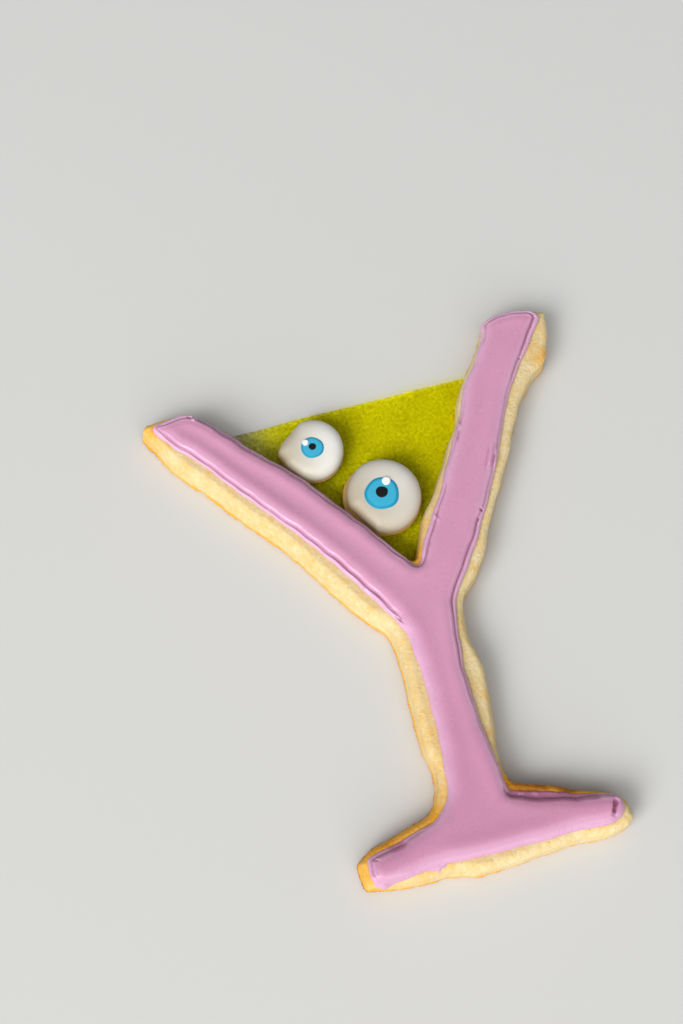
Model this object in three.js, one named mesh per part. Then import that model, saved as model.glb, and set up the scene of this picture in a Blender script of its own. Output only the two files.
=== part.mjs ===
// Iced sugar cookie cut as a cocktail glass, with a poured candy drink and two candy eyes.
// Millimetres, +Z up. The stem runs along +Y from the foot to the rim, and the underside is z = 0.
// Modelling runs in the glass's own frame: x = 0 is the stem's axis and y = 0 the foot's lower edge.

import * as THREE from 'three';

// ---------------------------------------------------------------- driving dimensions

const COOKIE_THICKNESS = 7.0;
const COOKIE_WALL_LEAN = 0.9;
const COOKIE_EDGE_ROUNDING = 0.8;
const COOKIE_WIDEST_HEIGHT = 1.0;
const COOKIE_UNDERCUT = 0.9;
const CRUMB_RELIEF = 0.16;

const ICING_THICKNESS = 2.4;
const ICING_BORDER_WIDTH = 1.35;
const ICING_BORDER_HEIGHT = 1.0;
const ICING_GROOVE_HEIGHT = 0.55;
const ICING_SHOULDER_WIDTH = 2.6;

const CANDY_THICKNESS = 3.0;
const CANDY_EDGE_ROUNDING = 0.5;
const CANDY_MENISCUS = 2.4;
const CANDY_CLEARANCE = 0.3;
const DRINK_LEVEL_LEFT = 118.9;
const DRINK_LEVEL_RIGHT = 117.5;

const DOT_THICKNESS = 0.3;
const GLINT_HEIGHT = 0.55;

const LARGE_EYE = {
  name: 'large_eye',
  x: -0.9,
  y: 91.8,
  radius: 9.6,
  height: 4.6,
  pressedFlat: { angle: 214, distance: 8.3 },
  nub: null,
  lip: 0.06,
  iris: { x: -0.5, y: -0.6, radius: 4.1 },
  pupil: { x: -0.4, y: -0.2, radius: 1.45 },
  glint: { x: 1.45, y: 2.25, radius: 1.05 },
};

const SMALL_EYE = {
  name: 'small_eye',
  x: -13.9,
  y: 108.2,
  radius: 8.0,
  height: 4.3,
  pressedFlat: { angle: 216, distance: 7.7 },
  nub: { angle: 172, reach: 0.7, spread: 17 },
  lip: 0.0,
  iris: { x: -0.1, y: -0.5, radius: 2.75 },
  pupil: { x: -0.05, y: -0.3, radius: 0.85 },
  glint: { x: -1.3, y: 1.2, radius: 0.75 },
};

// ---------------------------------------------------------------- outlines
// Corners run counterclockwise as [x, y, corner radius]. A corner with no radius is a gentle bend.

const COOKIE_LEFT_ARM_OUTER = [
  [-51.7, 126.4, 1.6], [-53.5, 124.3, 1.8], [-51.2, 120.2], [-47.8, 113.0], [-40.9, 104.4],
  [-35.8, 96.9], [-29.7, 89.1], [-25.4, 83.1], [-19.5, 72.5], [-13.4, 62.9], [-9.4, 58.6],
];
const COOKIE_STEM_LEFT = [
  [-9.0, 53.2], [-9.5, 45.4], [-10.0, 37.7], [-10.4, 30.1], [-9.4, 24.1], [-10.6, 19.8],
  [-13.0, 16.5],
];
const COOKIE_FOOT = [
  [-21.2, 14.4], [-28.0, 12.9], [-31.9, 10.4, 1.8], [-31.7, 7.2], [-31.2, 4.2, 1.2],
  [-25.0, 2.8], [-18.9, 1.9], [-11.4, 2.0], [-6.3, 0.0], [4.0, 0.2], [9.8, 0.5], [17.6, 0.9],
  [24.1, 0.0], [28.5, 0.6], [30.5, 2.6, 1.6], [30.1, 6.4], [28.4, 9.2], [23.3, 11.3],
  [18.3, 13.4], [15.6, 15.2], [11.0, 16.6], [7.0, 18.0], [5.7, 20.8],
];
const COOKIE_STEM_RIGHT = [
  [6.0, 24.4], [7.6, 31.5], [8.9, 40.0], [9.2, 45.4], [8.4, 51.1], [9.0, 58.9], [10.6, 62.1],
];
const COOKIE_RIGHT_ARM_OUTER = [
  [14.9, 66.0], [18.9, 71.1], [21.0, 75.9], [24.4, 81.4], [31.8, 92.6], [35.9, 100.4],
  [39.5, 106.3], [44.7, 112.0], [48.8, 114.4], [51.4, 119.9], [53.7, 128.2, 1.6],
];
const COOKIE_RIGHT_TIP = [
  [50.6, 130.0], [43.2, 131.2], [36.5, 131.0, 1.6], [34.8, 128.6],
];
const COOKIE_RIGHT_ARM_INNER = [
  [32.0, 123.3], [26.4, 116.0], [23.8, 111.5], [21.5, 105.2], [18.5, 101.5], [14.1, 94.3],
  [10.6, 89.3], [6.2, 84.1], [4.3, 80.0],
];
const COOKIE_FORK = [[1.2, 73.4, 0.9]];
const COOKIE_LEFT_ARM_INNER = [
  [-5.2, 83.0], [-10.7, 91.0], [-17.8, 101.2], [-22.3, 106.4], [-28.0, 112.4], [-31.3, 116.8],
  [-37.6, 123.8], [-40.6, 126.0, 2.2], [-46.3, 126.5],
];
const COOKIE_OUTLINE = [
  ...COOKIE_LEFT_ARM_OUTER, ...COOKIE_STEM_LEFT, ...COOKIE_FOOT, ...COOKIE_STEM_RIGHT,
  ...COOKIE_RIGHT_ARM_OUTER, ...COOKIE_RIGHT_TIP, ...COOKIE_RIGHT_ARM_INNER, ...COOKIE_FORK,
  ...COOKIE_LEFT_ARM_INNER,
];

const ICING_LEFT_ARM_OUTER = [
  [-51.0, 124.3, 2.6], [-46.9, 118.1], [-40.2, 110.6], [-34.9, 102.5], [-28.5, 94.2],
  [-21.7, 84.8], [-15.7, 75.2], [-8.3, 61.9], [-5.8, 56.8],
];
const ICING_STEM_LEFT = [[-5.4, 48.0], [-5.7, 38.0], [-6.9, 24.8], [-8.6, 17.2]];
const ICING_FOOT = [
  [-12.7, 13.8], [-18.7, 12.3], [-29.6, 10.0, 2.4], [-29.9, 3.3, 2.0], [-21.4, 3.6],
  [-13.1, 4.1], [-5.9, 3.8], [2.4, 3.4], [15.3, 3.2], [28.3, 2.7, 2.2], [27.9, 8.1, 1.8],
  [17.8, 11.4], [11.6, 13.7], [5.0, 15.9, 1.4],
];
const ICING_STEM_RIGHT = [[4.5, 22.5], [3.9, 33.0], [4.2, 45.5], [6.4, 57.3], [7.9, 62.0]];
const ICING_RIGHT_ARM_OUTER = [
  [14.9, 70.9], [21.4, 80.7], [28.5, 92.7], [33.3, 102.5], [37.1, 109.1], [41.8, 115.2],
  [47.3, 121.8], [51.4, 127.9, 2.0],
];
const ICING_RIGHT_TIP = [[42.6, 129.9], [37.0, 130.1, 1.8]];
const ICING_RIGHT_ARM_INNER = [
  [32.4, 120.6], [28.4, 115.8], [25.6, 111.9], [23.2, 106.2], [19.5, 100.4], [14.9, 92.7],
  [11.2, 86.1], [7.7, 81.7], [4.2, 76.1],
];
const ICING_FORK = [[1.6, 70.9, 1.3]];
const ICING_LEFT_ARM_INNER = [
  [-5.6, 82.7], [-11.1, 90.7], [-18.2, 100.9], [-22.7, 106.1], [-28.4, 112.1], [-31.7, 116.5],
  [-38.2, 123.6], [-41.7, 125.0],
];
const ICING_OUTLINE = [
  ...ICING_LEFT_ARM_OUTER, ...ICING_STEM_LEFT, ...ICING_FOOT, ...ICING_STEM_RIGHT,
  ...ICING_RIGHT_ARM_OUTER, ...ICING_RIGHT_TIP, ...ICING_RIGHT_ARM_INNER, ...ICING_FORK,
  ...ICING_LEFT_ARM_INNER,
];

// Places where the flood has run over its border and closed the groove, as [x, y, reach].
const FLOODED_OVER = [[-6.5, 38, 19], [-2, 3.4, 22], [21, 3, 12], [4.5, 24, 9]];

// ---------------------------------------------------------------- outline geometry

const GENTLE_BEND_SHARE = 0.42;
const CORNER_ARC_STEPS = 4;
const BEND_ARC_STEPS = 1;
const EDGE_STEP = 3.2;

/** Corner, edge directions and turning angle of every corner of a closed outline. */
function outlineFrame(corners) {
  return corners.map((corner, i) => {
    const before = corners[(i + corners.length - 1) % corners.length];
    const after = corners[(i + 1) % corners.length];
    const point = new THREE.Vector2(corner[0], corner[1]);
    const arriving = point.clone().sub(new THREE.Vector2(before[0], before[1]));
    const leaving = new THREE.Vector2(after[0], after[1]).sub(point);
    const shorter = Math.min(arriving.length(), leaving.length());
    arriving.normalize();
    leaving.normalize();
    const turn = Math.atan2(arriving.cross(leaving), arriving.dot(leaving));
    return { point, arriving, leaving, shorter, turn, radius: corner[2] };
  });
}

/** The same corners, each moved inward so that every edge lies `inset` further in. */
function insetCorners(corners, inset) {
  return outlineFrame(corners).map(({ point, arriving, leaving, turn, radius }) => {
    const inward = new THREE.Vector2(-arriving.y - leaving.y, arriving.x + leaving.x).normalize();
    const moved = point.clone().addScaledVector(inward, inset / Math.cos(turn / 2));
    const smallest = 0.35;
    const rounded = radius ? Math.max(smallest, radius - inset * Math.sign(turn)) : undefined;
    return [moved.x, moved.y, rounded];
  });
}

/** How many straight steps follow each corner, the same on every inset of one outline. */
function edgeDivisions(corners) {
  return corners.map((corner, i) => {
    const after = corners[(i + 1) % corners.length];
    const length = Math.hypot(after[0] - corner[0], after[1] - corner[1]);
    return Math.max(0, Math.round(length / EDGE_STEP) - 1);
  });
}

/** Points round one corner: an arc that touches both of its edges. */
function cornerArc({ point, arriving, leaving, shorter, turn, radius }) {
  const reachLimit = shorter * GENTLE_BEND_SHARE;
  const halfTangent = Math.tan(Math.abs(turn) / 2);
  const reach = radius ? Math.min(radius * halfTangent, reachLimit) : reachLimit;
  const start = point.clone().addScaledVector(arriving, -reach);
  const end = point.clone().addScaledVector(leaving, reach);
  const arc = new THREE.QuadraticBezierCurve(start, point, end);
  return arc.getPoints(radius ? CORNER_ARC_STEPS : BEND_ARC_STEPS);
}

/** Closed ring of points along an outline, with its corners rounded. */
function outlineRing(corners, divisions) {
  const arcs = outlineFrame(corners).map(cornerArc);
  const ring = [];
  arcs.forEach((arc, i) => {
    const next = arcs[(i + 1) % arcs.length][0];
    const last = arc[arc.length - 1];
    ring.push(...arc);
    for (let step = 1; step <= divisions[i]; step += 1) {
      ring.push(last.clone().lerp(next, step / (divisions[i] + 1)));
    }
  });
  return ring;
}

/** Slow hand-made wander of an edge, in the range -1 to 1, at a place on the outline. */
function handWander(x, y) {
  return 0.5 * Math.sin(0.61 * x + 0.47 * y) + 0.5 * Math.sin(0.93 * y - 0.38 * x + 1.7);
}

/** Ring of an outline's inset at one height; `wander` moves it in and out by hand. */
function levelRing(corners, { inset, height, wander = 0 }, relief = () => 0) {
  const divisions = edgeDivisions(corners);
  const outer = outlineRing(corners, divisions);
  const ring = outlineRing(insetCorners(corners, inset), divisions);
  return ring.map((point, i) => {
    const before = ring[(i + ring.length - 1) % ring.length];
    const after = ring[(i + 1) % ring.length];
    const outward = new THREE.Vector2(after.y - before.y, before.x - after.x).normalize();
    const shift = wander * handWander(outer[i].x, outer[i].y) + relief(i);
    const z = typeof height === 'function' ? height(outer[i].x, outer[i].y) : height;
    return new THREE.Vector3(point.x + outward.x * shift, point.y + outward.y * shift, z);
  });
}

// ---------------------------------------------------------------- solids from stacked rings

/** Closed solid through rings of equal length, the first at the bottom, with flat end caps. */
function stackedSolid(rings) {
  const count = rings[0].length;
  const positions = rings.flat().flatMap((point) => [point.x, point.y, point.z]);
  const faces = [];
  for (let level = 0; level + 1 < rings.length; level += 1) {
    for (let i = 0; i < count; i += 1) {
      const next = (i + 1) % count;
      const low = level * count;
      const high = low + count;
      faces.push(low + i, low + next, high + next);
      faces.push(low + i, high + next, high + i);
    }
  }
  const capFaces = (ring) => THREE.ShapeUtils.triangulateShape(
    ring.map((point) => new THREE.Vector2(point.x, point.y)),
    [],
  );
  capFaces(rings[0]).forEach(([a, b, c]) => faces.push(a, c, b));
  const top = (rings.length - 1) * count;
  capFaces(rings[rings.length - 1]).forEach(([a, b, c]) => faces.push(top + a, top + b, top + c));
  const geometry = new THREE.BufferGeometry();
  geometry.setAttribute('position', new THREE.Float32BufferAttribute(positions, 3));
  geometry.setIndex(faces);
  geometry.computeVertexNormals();
  return geometry;
}

/** Repeatable random numbers from -1 to 1. */
function seededNoise(seed) {
  let state = seed;
  return () => {
    state = (state * 1103515245 + 12345) % 2147483648;
    return (state / 2147483648) * 2 - 1;
  };
}

// ---------------------------------------------------------------- cookie

/** Baked cookie: a rough lower edge, a wall that leans in and a rounded top edge. */
function cookieGeometry() {
  const noise = seededNoise(41);
  const crumb = () => CRUMB_RELIEF * noise();
  const topInset = COOKIE_WALL_LEAN + COOKIE_EDGE_ROUNDING;
  const wallTop = COOKIE_THICKNESS - COOKIE_EDGE_ROUNDING;
  const wallMiddle = (COOKIE_WIDEST_HEIGHT + wallTop) / 2;
  const levels = [
    { inset: COOKIE_UNDERCUT, height: 0, wander: 0.2 },
    { inset: 0, height: COOKIE_WIDEST_HEIGHT, wander: 0.25 },
    { inset: COOKIE_WALL_LEAN / 2, height: wallMiddle, wander: 0.2 },
    { inset: COOKIE_WALL_LEAN, height: wallTop, wander: 0.15 },
    { inset: topInset - COOKIE_EDGE_ROUNDING * 0.4, height: COOKIE_THICKNESS - 0.25, wander: 0.15 },
    { inset: topInset, height: COOKIE_THICKNESS, wander: 0.15 },
  ];
  const rough = [false, true, true, true, false, false];
  const rings = levels.map((level, i) => (
    levelRing(COOKIE_OUTLINE, level, rough[i] ? crumb : undefined)
  ));
  return stackedSolid(rings);
}

// ---------------------------------------------------------------- icing

/** 1 where the groove inside the border is open, 0 where the flood has closed it. */
function grooveOpenness(x, y) {
  const closed = FLOODED_OVER.map(([cx, cy, reach]) => {
    const away = Math.hypot(x - cx, y - cy) / reach;
    return 1 - THREE.MathUtils.smoothstep(away, 0.7, 1);
  });
  return 1 - Math.max(...closed);
}

/** Royal icing: a piped border, a groove inside it and a raised flood. */
function icingGeometry() {
  const base = COOKIE_THICKNESS;
  const floodedShoulder = 1.7;
  const border = (open, closed) => (x, y) => (
    base + THREE.MathUtils.lerp(closed, open, grooveOpenness(x, y))
  );
  const wander = 0.18;
  const levels = [
    { inset: 0.1, height: base, wander },
    { inset: 0, height: base + ICING_BORDER_HEIGHT * 0.45, wander },
    { inset: 0.3, height: border(ICING_BORDER_HEIGHT * 0.9, 1.05), wander },
    { inset: 0.75, height: border(ICING_BORDER_HEIGHT, 1.45), wander },
    { inset: ICING_BORDER_WIDTH, height: border(ICING_GROOVE_HEIGHT, floodedShoulder), wander },
    { inset: ICING_BORDER_WIDTH + 0.45, height: border(1.5, 1.95), wander },
    { inset: (ICING_BORDER_WIDTH + ICING_SHOULDER_WIDTH) / 2, height: base + 2.1, wander },
    { inset: ICING_SHOULDER_WIDTH, height: base + ICING_THICKNESS, wander },
  ];
  return stackedSolid(levels.map((level) => levelRing(ICING_OUTLINE, level)));
}

// ---------------------------------------------------------------- candy drink

/** Point of a run of corners at a given y, between the two corners on either side of it. */
function pointAtLevel(run, y) {
  for (let i = 0; i + 1 < run.length; i += 1) {
    const [x0, y0] = run[i];
    const [x1, y1] = run[i + 1];
    if ((y0 - y) * (y1 - y) <= 0) {
      return [x0 + (x1 - x0) * ((y - y0) / (y1 - y0)), y];
    }
  }
  throw new Error('the run does not reach this level');
}

/** Outline of the drink: the V between the arms, up to its level line lowered by `drop`. */
function drinkOutline(clearance, drop) {
  const clear = insetCorners(COOKIE_OUTLINE, -clearance).map(([x, y]) => [x, y]);
  const rightStart = COOKIE_OUTLINE.indexOf(COOKIE_RIGHT_ARM_INNER[0]);
  const fork = COOKIE_OUTLINE.indexOf(COOKIE_FORK[0]);
  const rightRun = clear.slice(rightStart, fork + 1);
  const leftRun = clear.slice(fork);
  const alwaysWet = ([, y]) => y < Math.min(DRINK_LEVEL_LEFT, DRINK_LEVEL_RIGHT) - CANDY_MENISCUS - 1;
  const tipRadius = 0.6;
  return [
    [...pointAtLevel(leftRun, DRINK_LEVEL_LEFT - drop), tipRadius],
    ...leftRun.slice(1).filter(alwaysWet).reverse(),
    [...clear[fork], tipRadius],
    ...rightRun.slice(0, -1).filter(alwaysWet).reverse(),
    [...pointAtLevel(rightRun, DRINK_LEVEL_RIGHT - drop), tipRadius],
  ];
}

/** Clear candy plate poured flat into the V, thinning to its level line. */
function drinkGeometry() {
  const against = CANDY_CLEARANCE;
  const rounding = CANDY_EDGE_ROUNDING;
  const levels = [
    { clearance: against + 0.25, drop: 0.25, height: 0 },
    { clearance: against, drop: 0, height: 0.3 },
    { clearance: against, drop: 0.35, height: CANDY_THICKNESS / 2 },
    { clearance: against, drop: CANDY_MENISCUS / 2, height: CANDY_THICKNESS - rounding },
    { clearance: against + rounding, drop: CANDY_MENISCUS, height: CANDY_THICKNESS },
  ];
  return stackedSolid(levels.map(({ clearance, drop, height }) => {
    const corners = drinkOutline(clearance, drop);
    const ring = outlineRing(corners, corners.map(() => 0));
    return ring.map((point) => new THREE.Vector3(point.x, point.y, height));
  }));
}

// ---------------------------------------------------------------- candy eyes

const EYE_SEGMENTS = 44;

/** Distance from an eye's centre to its lowest edge, in a direction given in degrees. */
function eyeReach(eye, degrees) {
  const angleFrom = (centre) => THREE.MathUtils.euclideanModulo(degrees - centre + 180, 360) - 180;
  const off = THREE.MathUtils.degToRad(angleFrom(eye.pressedFlat.angle));
  const flat = Math.cos(off) > 0 ? eye.pressedFlat.distance / Math.cos(off) : Infinity;
  const nub = eye.nub ? eye.nub.reach * Math.exp(-((angleFrom(eye.nub.angle) / eye.nub.spread) ** 2)) : 0;
  return Math.min(eye.radius + nub, flat);
}

/** Domed white of an eye, flat where it lies and where its iris sits. */
function eyeWhiteGeometry(eye) {
  const flatTop = (eye.iris.radius + Math.hypot(eye.iris.x, eye.iris.y) + 0.15) / eye.radius;
  const body = 1 - eye.lip;
  const profile = [
    [0.97, 0], [1, 0.07], [1, 0.14], [body - eye.lip * 0.3, 0.22], [body, 0.34], [body * 0.985, 0.48],
    [body * 0.94, 0.64], [body * 0.85, 0.79], [body * 0.73, 0.905], [body * 0.6, 0.975], [flatTop, 1],
  ];
  const rings = profile.map(([share, rise]) => {
    const ring = [];
    for (let i = 0; i < EYE_SEGMENTS; i += 1) {
      const degrees = (i * 360) / EYE_SEGMENTS;
      const roundShare = THREE.MathUtils.smoothstep(rise, 0.5, 1);
      const reach = THREE.MathUtils.lerp(eyeReach(eye, degrees), eye.radius, roundShare) * share;
      const angle = THREE.MathUtils.degToRad(degrees);
      ring.push(new THREE.Vector3(reach * Math.cos(angle), reach * Math.sin(angle), rise * eye.height));
    }
    return ring;
  });
  return stackedSolid(rings);
}

/** Thin round dot of icing with a softened upper edge, its underside at z = 0. */
function dotGeometry(radius, height, segments) {
  const profile = [
    new THREE.Vector2(0, 0),
    new THREE.Vector2(radius, 0),
    new THREE.Vector2(radius, height * 0.5),
    new THREE.Vector2(radius * 0.86, height),
    new THREE.Vector2(0, height),
  ];
  const geometry = new THREE.LatheGeometry(profile, segments);
  geometry.rotateX(Math.PI / 2);
  return geometry;
}

// ---------------------------------------------------------------- materials and assembly

const material = (color, roughness) => new THREE.MeshStandardMaterial({ color, roughness, metalness: 0 });

const bakedDough = material(0xecd38f, 0.85);
const mauveIcing = material(0xcf95bd, 0.45);
const limeCandy = material(0xb4b400, 0.15);
const whiteIcing = material(0xeee8d8, 0.4);
const blueIcing = material(0x2fb2d6, 0.4);
const blackIcing = material(0x101014, 0.4);
const glintIcing = material(0xffffff, 0.35);

/** Named mesh placed in its parent's frame. */
function piece(name, geometry, finish, x = 0, y = 0, z = 0) {
  const mesh = new THREE.Mesh(geometry, finish);
  mesh.name = name;
  mesh.position.set(x, y, z);
  return mesh;
}

/** One candy eye: its white, with the iris on it and the pupil and glint on the iris. */
function candyEye(eye) {
  const group = new THREE.Group();
  const onWhite = eye.height;
  const onIris = eye.height + DOT_THICKNESS;
  const iris = dotGeometry(eye.iris.radius, DOT_THICKNESS, 32);
  const pupil = dotGeometry(eye.pupil.radius, DOT_THICKNESS, 20);
  const glint = dotGeometry(eye.glint.radius, GLINT_HEIGHT, 16);
  group.add(
    piece(`${eye.name}_white`, eyeWhiteGeometry(eye), whiteIcing),
    piece(`${eye.name}_iris`, iris, blueIcing, eye.iris.x, eye.iris.y, onWhite),
    piece(`${eye.name}_pupil`, pupil, blackIcing, eye.pupil.x, eye.pupil.y, onIris),
    piece(`${eye.name}_glint`, glint, glintIcing, eye.glint.x, eye.glint.y, onIris),
  );
  group.position.set(eye.x, eye.y, CANDY_THICKNESS);
  return group;
}

/** The whole cookie, moved so that the middle of its underside is the origin. */
function icedCookie() {
  const glass = new THREE.Group();
  glass.add(
    piece('cookie', cookieGeometry(), bakedDough),
    piece('icing', icingGeometry(), mauveIcing),
    piece('candy_drink', drinkGeometry(), limeCandy),
    candyEye(SMALL_EYE),
    candyEye(LARGE_EYE),
  );
  const box = new THREE.Box3().setFromObject(glass);
  const centre = box.getCenter(new THREE.Vector3());
  glass.position.set(-centre.x, -centre.y, -box.min.z);
  const group = new THREE.Group();
  group.add(glass);
  return group;
}

export default icedCookie();
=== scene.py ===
"""Looks of an iced sugar cookie cut as a cocktail glass.

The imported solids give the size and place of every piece. Here each one is made again as a fine
mesh in the same place: a baked cookie with a crumbly wall, royal icing with its piped border,
groove and flood, a poured candy drink, and two candy eyes with their iris, pupil and glint.
Sizes are in millimetres in the glass's own frame, where x = 0 is the stem's axis and y = 0 the
foot's lower edge, and they are put into the frame's metres when a mesh is made.
"""

import logging
import math
from dataclasses import dataclass, field
from enum import Enum
from typing import Callable, ClassVar, Sequence

import bpy
import numpy as np
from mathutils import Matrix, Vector
from mathutils.geometry import delaunay_2d_cdt
from mathutils.kdtree import KDTree


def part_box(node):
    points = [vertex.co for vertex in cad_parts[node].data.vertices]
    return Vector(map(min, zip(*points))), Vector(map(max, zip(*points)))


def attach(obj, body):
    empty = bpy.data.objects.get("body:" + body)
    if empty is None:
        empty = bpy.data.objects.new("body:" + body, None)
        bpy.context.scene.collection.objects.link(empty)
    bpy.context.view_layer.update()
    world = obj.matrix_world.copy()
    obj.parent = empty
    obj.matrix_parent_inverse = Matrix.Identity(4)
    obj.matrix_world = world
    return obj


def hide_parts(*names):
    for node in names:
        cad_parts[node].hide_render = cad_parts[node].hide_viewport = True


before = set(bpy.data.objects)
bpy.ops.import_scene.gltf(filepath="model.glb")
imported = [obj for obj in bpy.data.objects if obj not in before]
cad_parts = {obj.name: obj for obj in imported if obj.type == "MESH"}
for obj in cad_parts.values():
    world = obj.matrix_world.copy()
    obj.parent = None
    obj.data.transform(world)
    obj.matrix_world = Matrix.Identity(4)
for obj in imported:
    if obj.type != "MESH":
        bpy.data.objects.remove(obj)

LOG = logging.getLogger("iced_cookie")
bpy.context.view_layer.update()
MM = 0.001
BODY = "root"

TINY = 1e-9

Corner = tuple[float, ...]
Span = tuple[float, float]
Colour = tuple[float, float, float]
Rgb = tuple[int, int, int]
Array = np.ndarray
Node = bpy.types.Node
Socket = bpy.types.NodeSocket


# ------------ outlines

COOKIE_CORNERS: tuple[Corner, ...] = (
    # left arm, outer side
    (-51.7, 126.4, 1.6), (-53.5, 124.3, 1.8), (-51.2, 120.2), (-47.8, 113.0), (-40.9, 104.4),
    (-35.8, 96.9), (-29.7, 89.1), (-25.4, 83.1), (-19.5, 72.5), (-13.4, 62.9), (-9.4, 58.6),
    # stem, left side
    (-9.0, 53.2), (-9.5, 45.4), (-10.0, 37.7), (-10.4, 30.1), (-9.4, 24.1), (-10.6, 19.8),
    (-13.0, 16.5),
    # foot
    (-21.2, 14.4), (-28.0, 12.9), (-31.9, 10.4, 1.8), (-31.7, 7.2), (-31.2, 4.2, 1.2),
    (-25.0, 2.8), (-18.9, 1.9), (-11.4, 2.0), (-6.3, 0.0), (4.0, 0.2), (9.8, 0.5), (17.6, 0.9),
    (24.1, 0.0), (28.5, 0.6), (30.5, 2.6, 1.6), (30.1, 6.4), (28.4, 9.2), (23.3, 11.3),
    (18.3, 13.4), (15.6, 15.2), (11.0, 16.6), (7.0, 18.0), (5.7, 20.8),
    # stem, right side
    (6.0, 24.4), (7.6, 31.5), (8.9, 40.0), (9.2, 45.4), (8.4, 51.1), (9.0, 58.9), (10.6, 62.1),
    # right arm, outer side
    (14.9, 66.0), (18.9, 71.1), (21.0, 75.9), (24.4, 81.4), (31.8, 92.6), (35.9, 100.4),
    (39.5, 106.3), (44.7, 112.0), (48.8, 114.4), (51.4, 119.9), (53.7, 128.2, 1.6),
    # right tip
    (50.6, 130.0), (43.2, 131.2), (37.6, 130.8, 1.4), (35.8, 128.0),
    # right arm, inner side
    (32.7, 123.1), (26.6, 115.9), (23.8, 111.5), (21.5, 105.2), (18.5, 101.5), (14.1, 94.3),
    (10.6, 89.3), (6.2, 84.1), (4.3, 80.0),
    # fork
    (1.2, 73.4, 0.9),
    # left arm, inner side, and its tip
    (-5.2, 83.0), (-10.7, 91.0), (-17.8, 101.2), (-22.3, 106.4), (-28.0, 112.4), (-31.3, 116.8),
    (-37.6, 123.8), (-40.6, 126.0, 2.2), (-46.3, 126.5),
)

ICING_CORNERS: tuple[Corner, ...] = (
    # left arm, outer side
    (-51.0, 124.3, 2.6), (-46.9, 118.1), (-40.2, 110.6), (-34.9, 102.5), (-28.5, 94.2),
    (-21.7, 84.8), (-15.7, 75.2), (-8.3, 61.9), (-5.8, 56.8),
    # stem, left side
    (-5.4, 48.0), (-5.7, 38.0), (-6.9, 24.8), (-8.6, 17.2),
    # foot
    (-12.7, 13.8), (-18.7, 12.3), (-24.5, 11.3), (-29.2, 10.4, 1.0), (-29.8, 6.4), (-29.2, 4.3),
    (-27.4, 3.1), (-25.2, 3.8), (-19.6, 4.1), (-12.7, 4.5), (-5.9, 3.8), (2.4, 3.4),
    (15.3, 3.2), (24.8, 2.5), (27.2, 3.5), (28.3, 5.0), (28.4, 6.9), (27.6, 8.4), (17.8, 11.4),
    (11.6, 13.7), (5.0, 15.9, 1.4),
    # stem, right side
    (4.5, 22.5), (3.9, 33.0), (4.2, 45.5), (6.4, 57.3), (7.9, 62.0),
    # right arm, outer side, and its tip
    (14.9, 70.9), (21.4, 80.7), (28.5, 92.7), (33.3, 102.5), (37.1, 109.1), (41.8, 115.2),
    (47.3, 121.8), (51.0, 126.4, 1.2), (49.2, 129.0), (44.8, 130.2), (40.0, 130.0),
    (36.2, 128.6, 1.2), (34.7, 124.9),
    # right arm, inner side
    (32.4, 120.6), (28.4, 115.8), (25.6, 111.9), (23.2, 106.2), (19.5, 100.4), (14.9, 92.7),
    (11.2, 86.1), (7.7, 81.7), (4.2, 76.1),
    # fork
    (1.6, 70.9, 1.3),
    # left arm, inner side
    (-5.6, 82.7), (-11.1, 90.7), (-18.2, 100.9), (-22.7, 106.1), (-28.4, 112.1), (-31.7, 116.5),
    (-38.2, 123.6), (-41.7, 125.0),
)

# a thin smear that runs down from the foot's lower edge, between two of the icing's corners
SMEAR_CORNERS: tuple[Corner, ...] = (
    (-18.2, 4.2), (-16.2, 3.75, 0.5), (-15.3, 3.55, 0.25), (-14.95, 2.6, 0.2), (-14.5, 3.6, 0.25),
    (-13.4, 3.85, 0.4),
)
SMEAR_PLACE = 22

# two of the cookie's corners, between which the drink is poured
FORK_CORNER: Corner = (1.2, 73.4, 0.9)
RIGHT_INNER_START: Corner = (32.7, 123.1)

# the hand-made wander's two waves: radians per millimetre along x and along y, and a phase
WANDER_WAVES = ((0.61, 0.47, 0.0), (-0.38, 0.93, 1.7))
FEWEST_POINTS = 8


def smoothstep(low: float, high: float, value: Array) -> Array:
    """Ease from 0 at `low` to 1 at `high`.

    Args:
        low: where the result is 0.
        high: where the result is 1.
        value: the numbers to ease.

    Returns:
        Numbers from 0 to 1.
    """
    share = np.clip((value - low) / (high - low), 0.0, 1.0)
    return share * share * (3.0 - 2.0 * share)


def hand_wander(points: Array) -> Array:
    """Slow hand-made wander of an edge, the same as in the solids.

    Args:
        points: places on the outline, in millimetres.

    Returns:
        A number from -1 to 1 for each place.
    """
    x, y = points[:, 0], points[:, 1]
    waves = [np.sin(per_x * x + per_y * y + phase) for per_x, per_y, phase in WANDER_WAVES]
    return 0.5 * waves[0] + 0.5 * waves[1]


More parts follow.
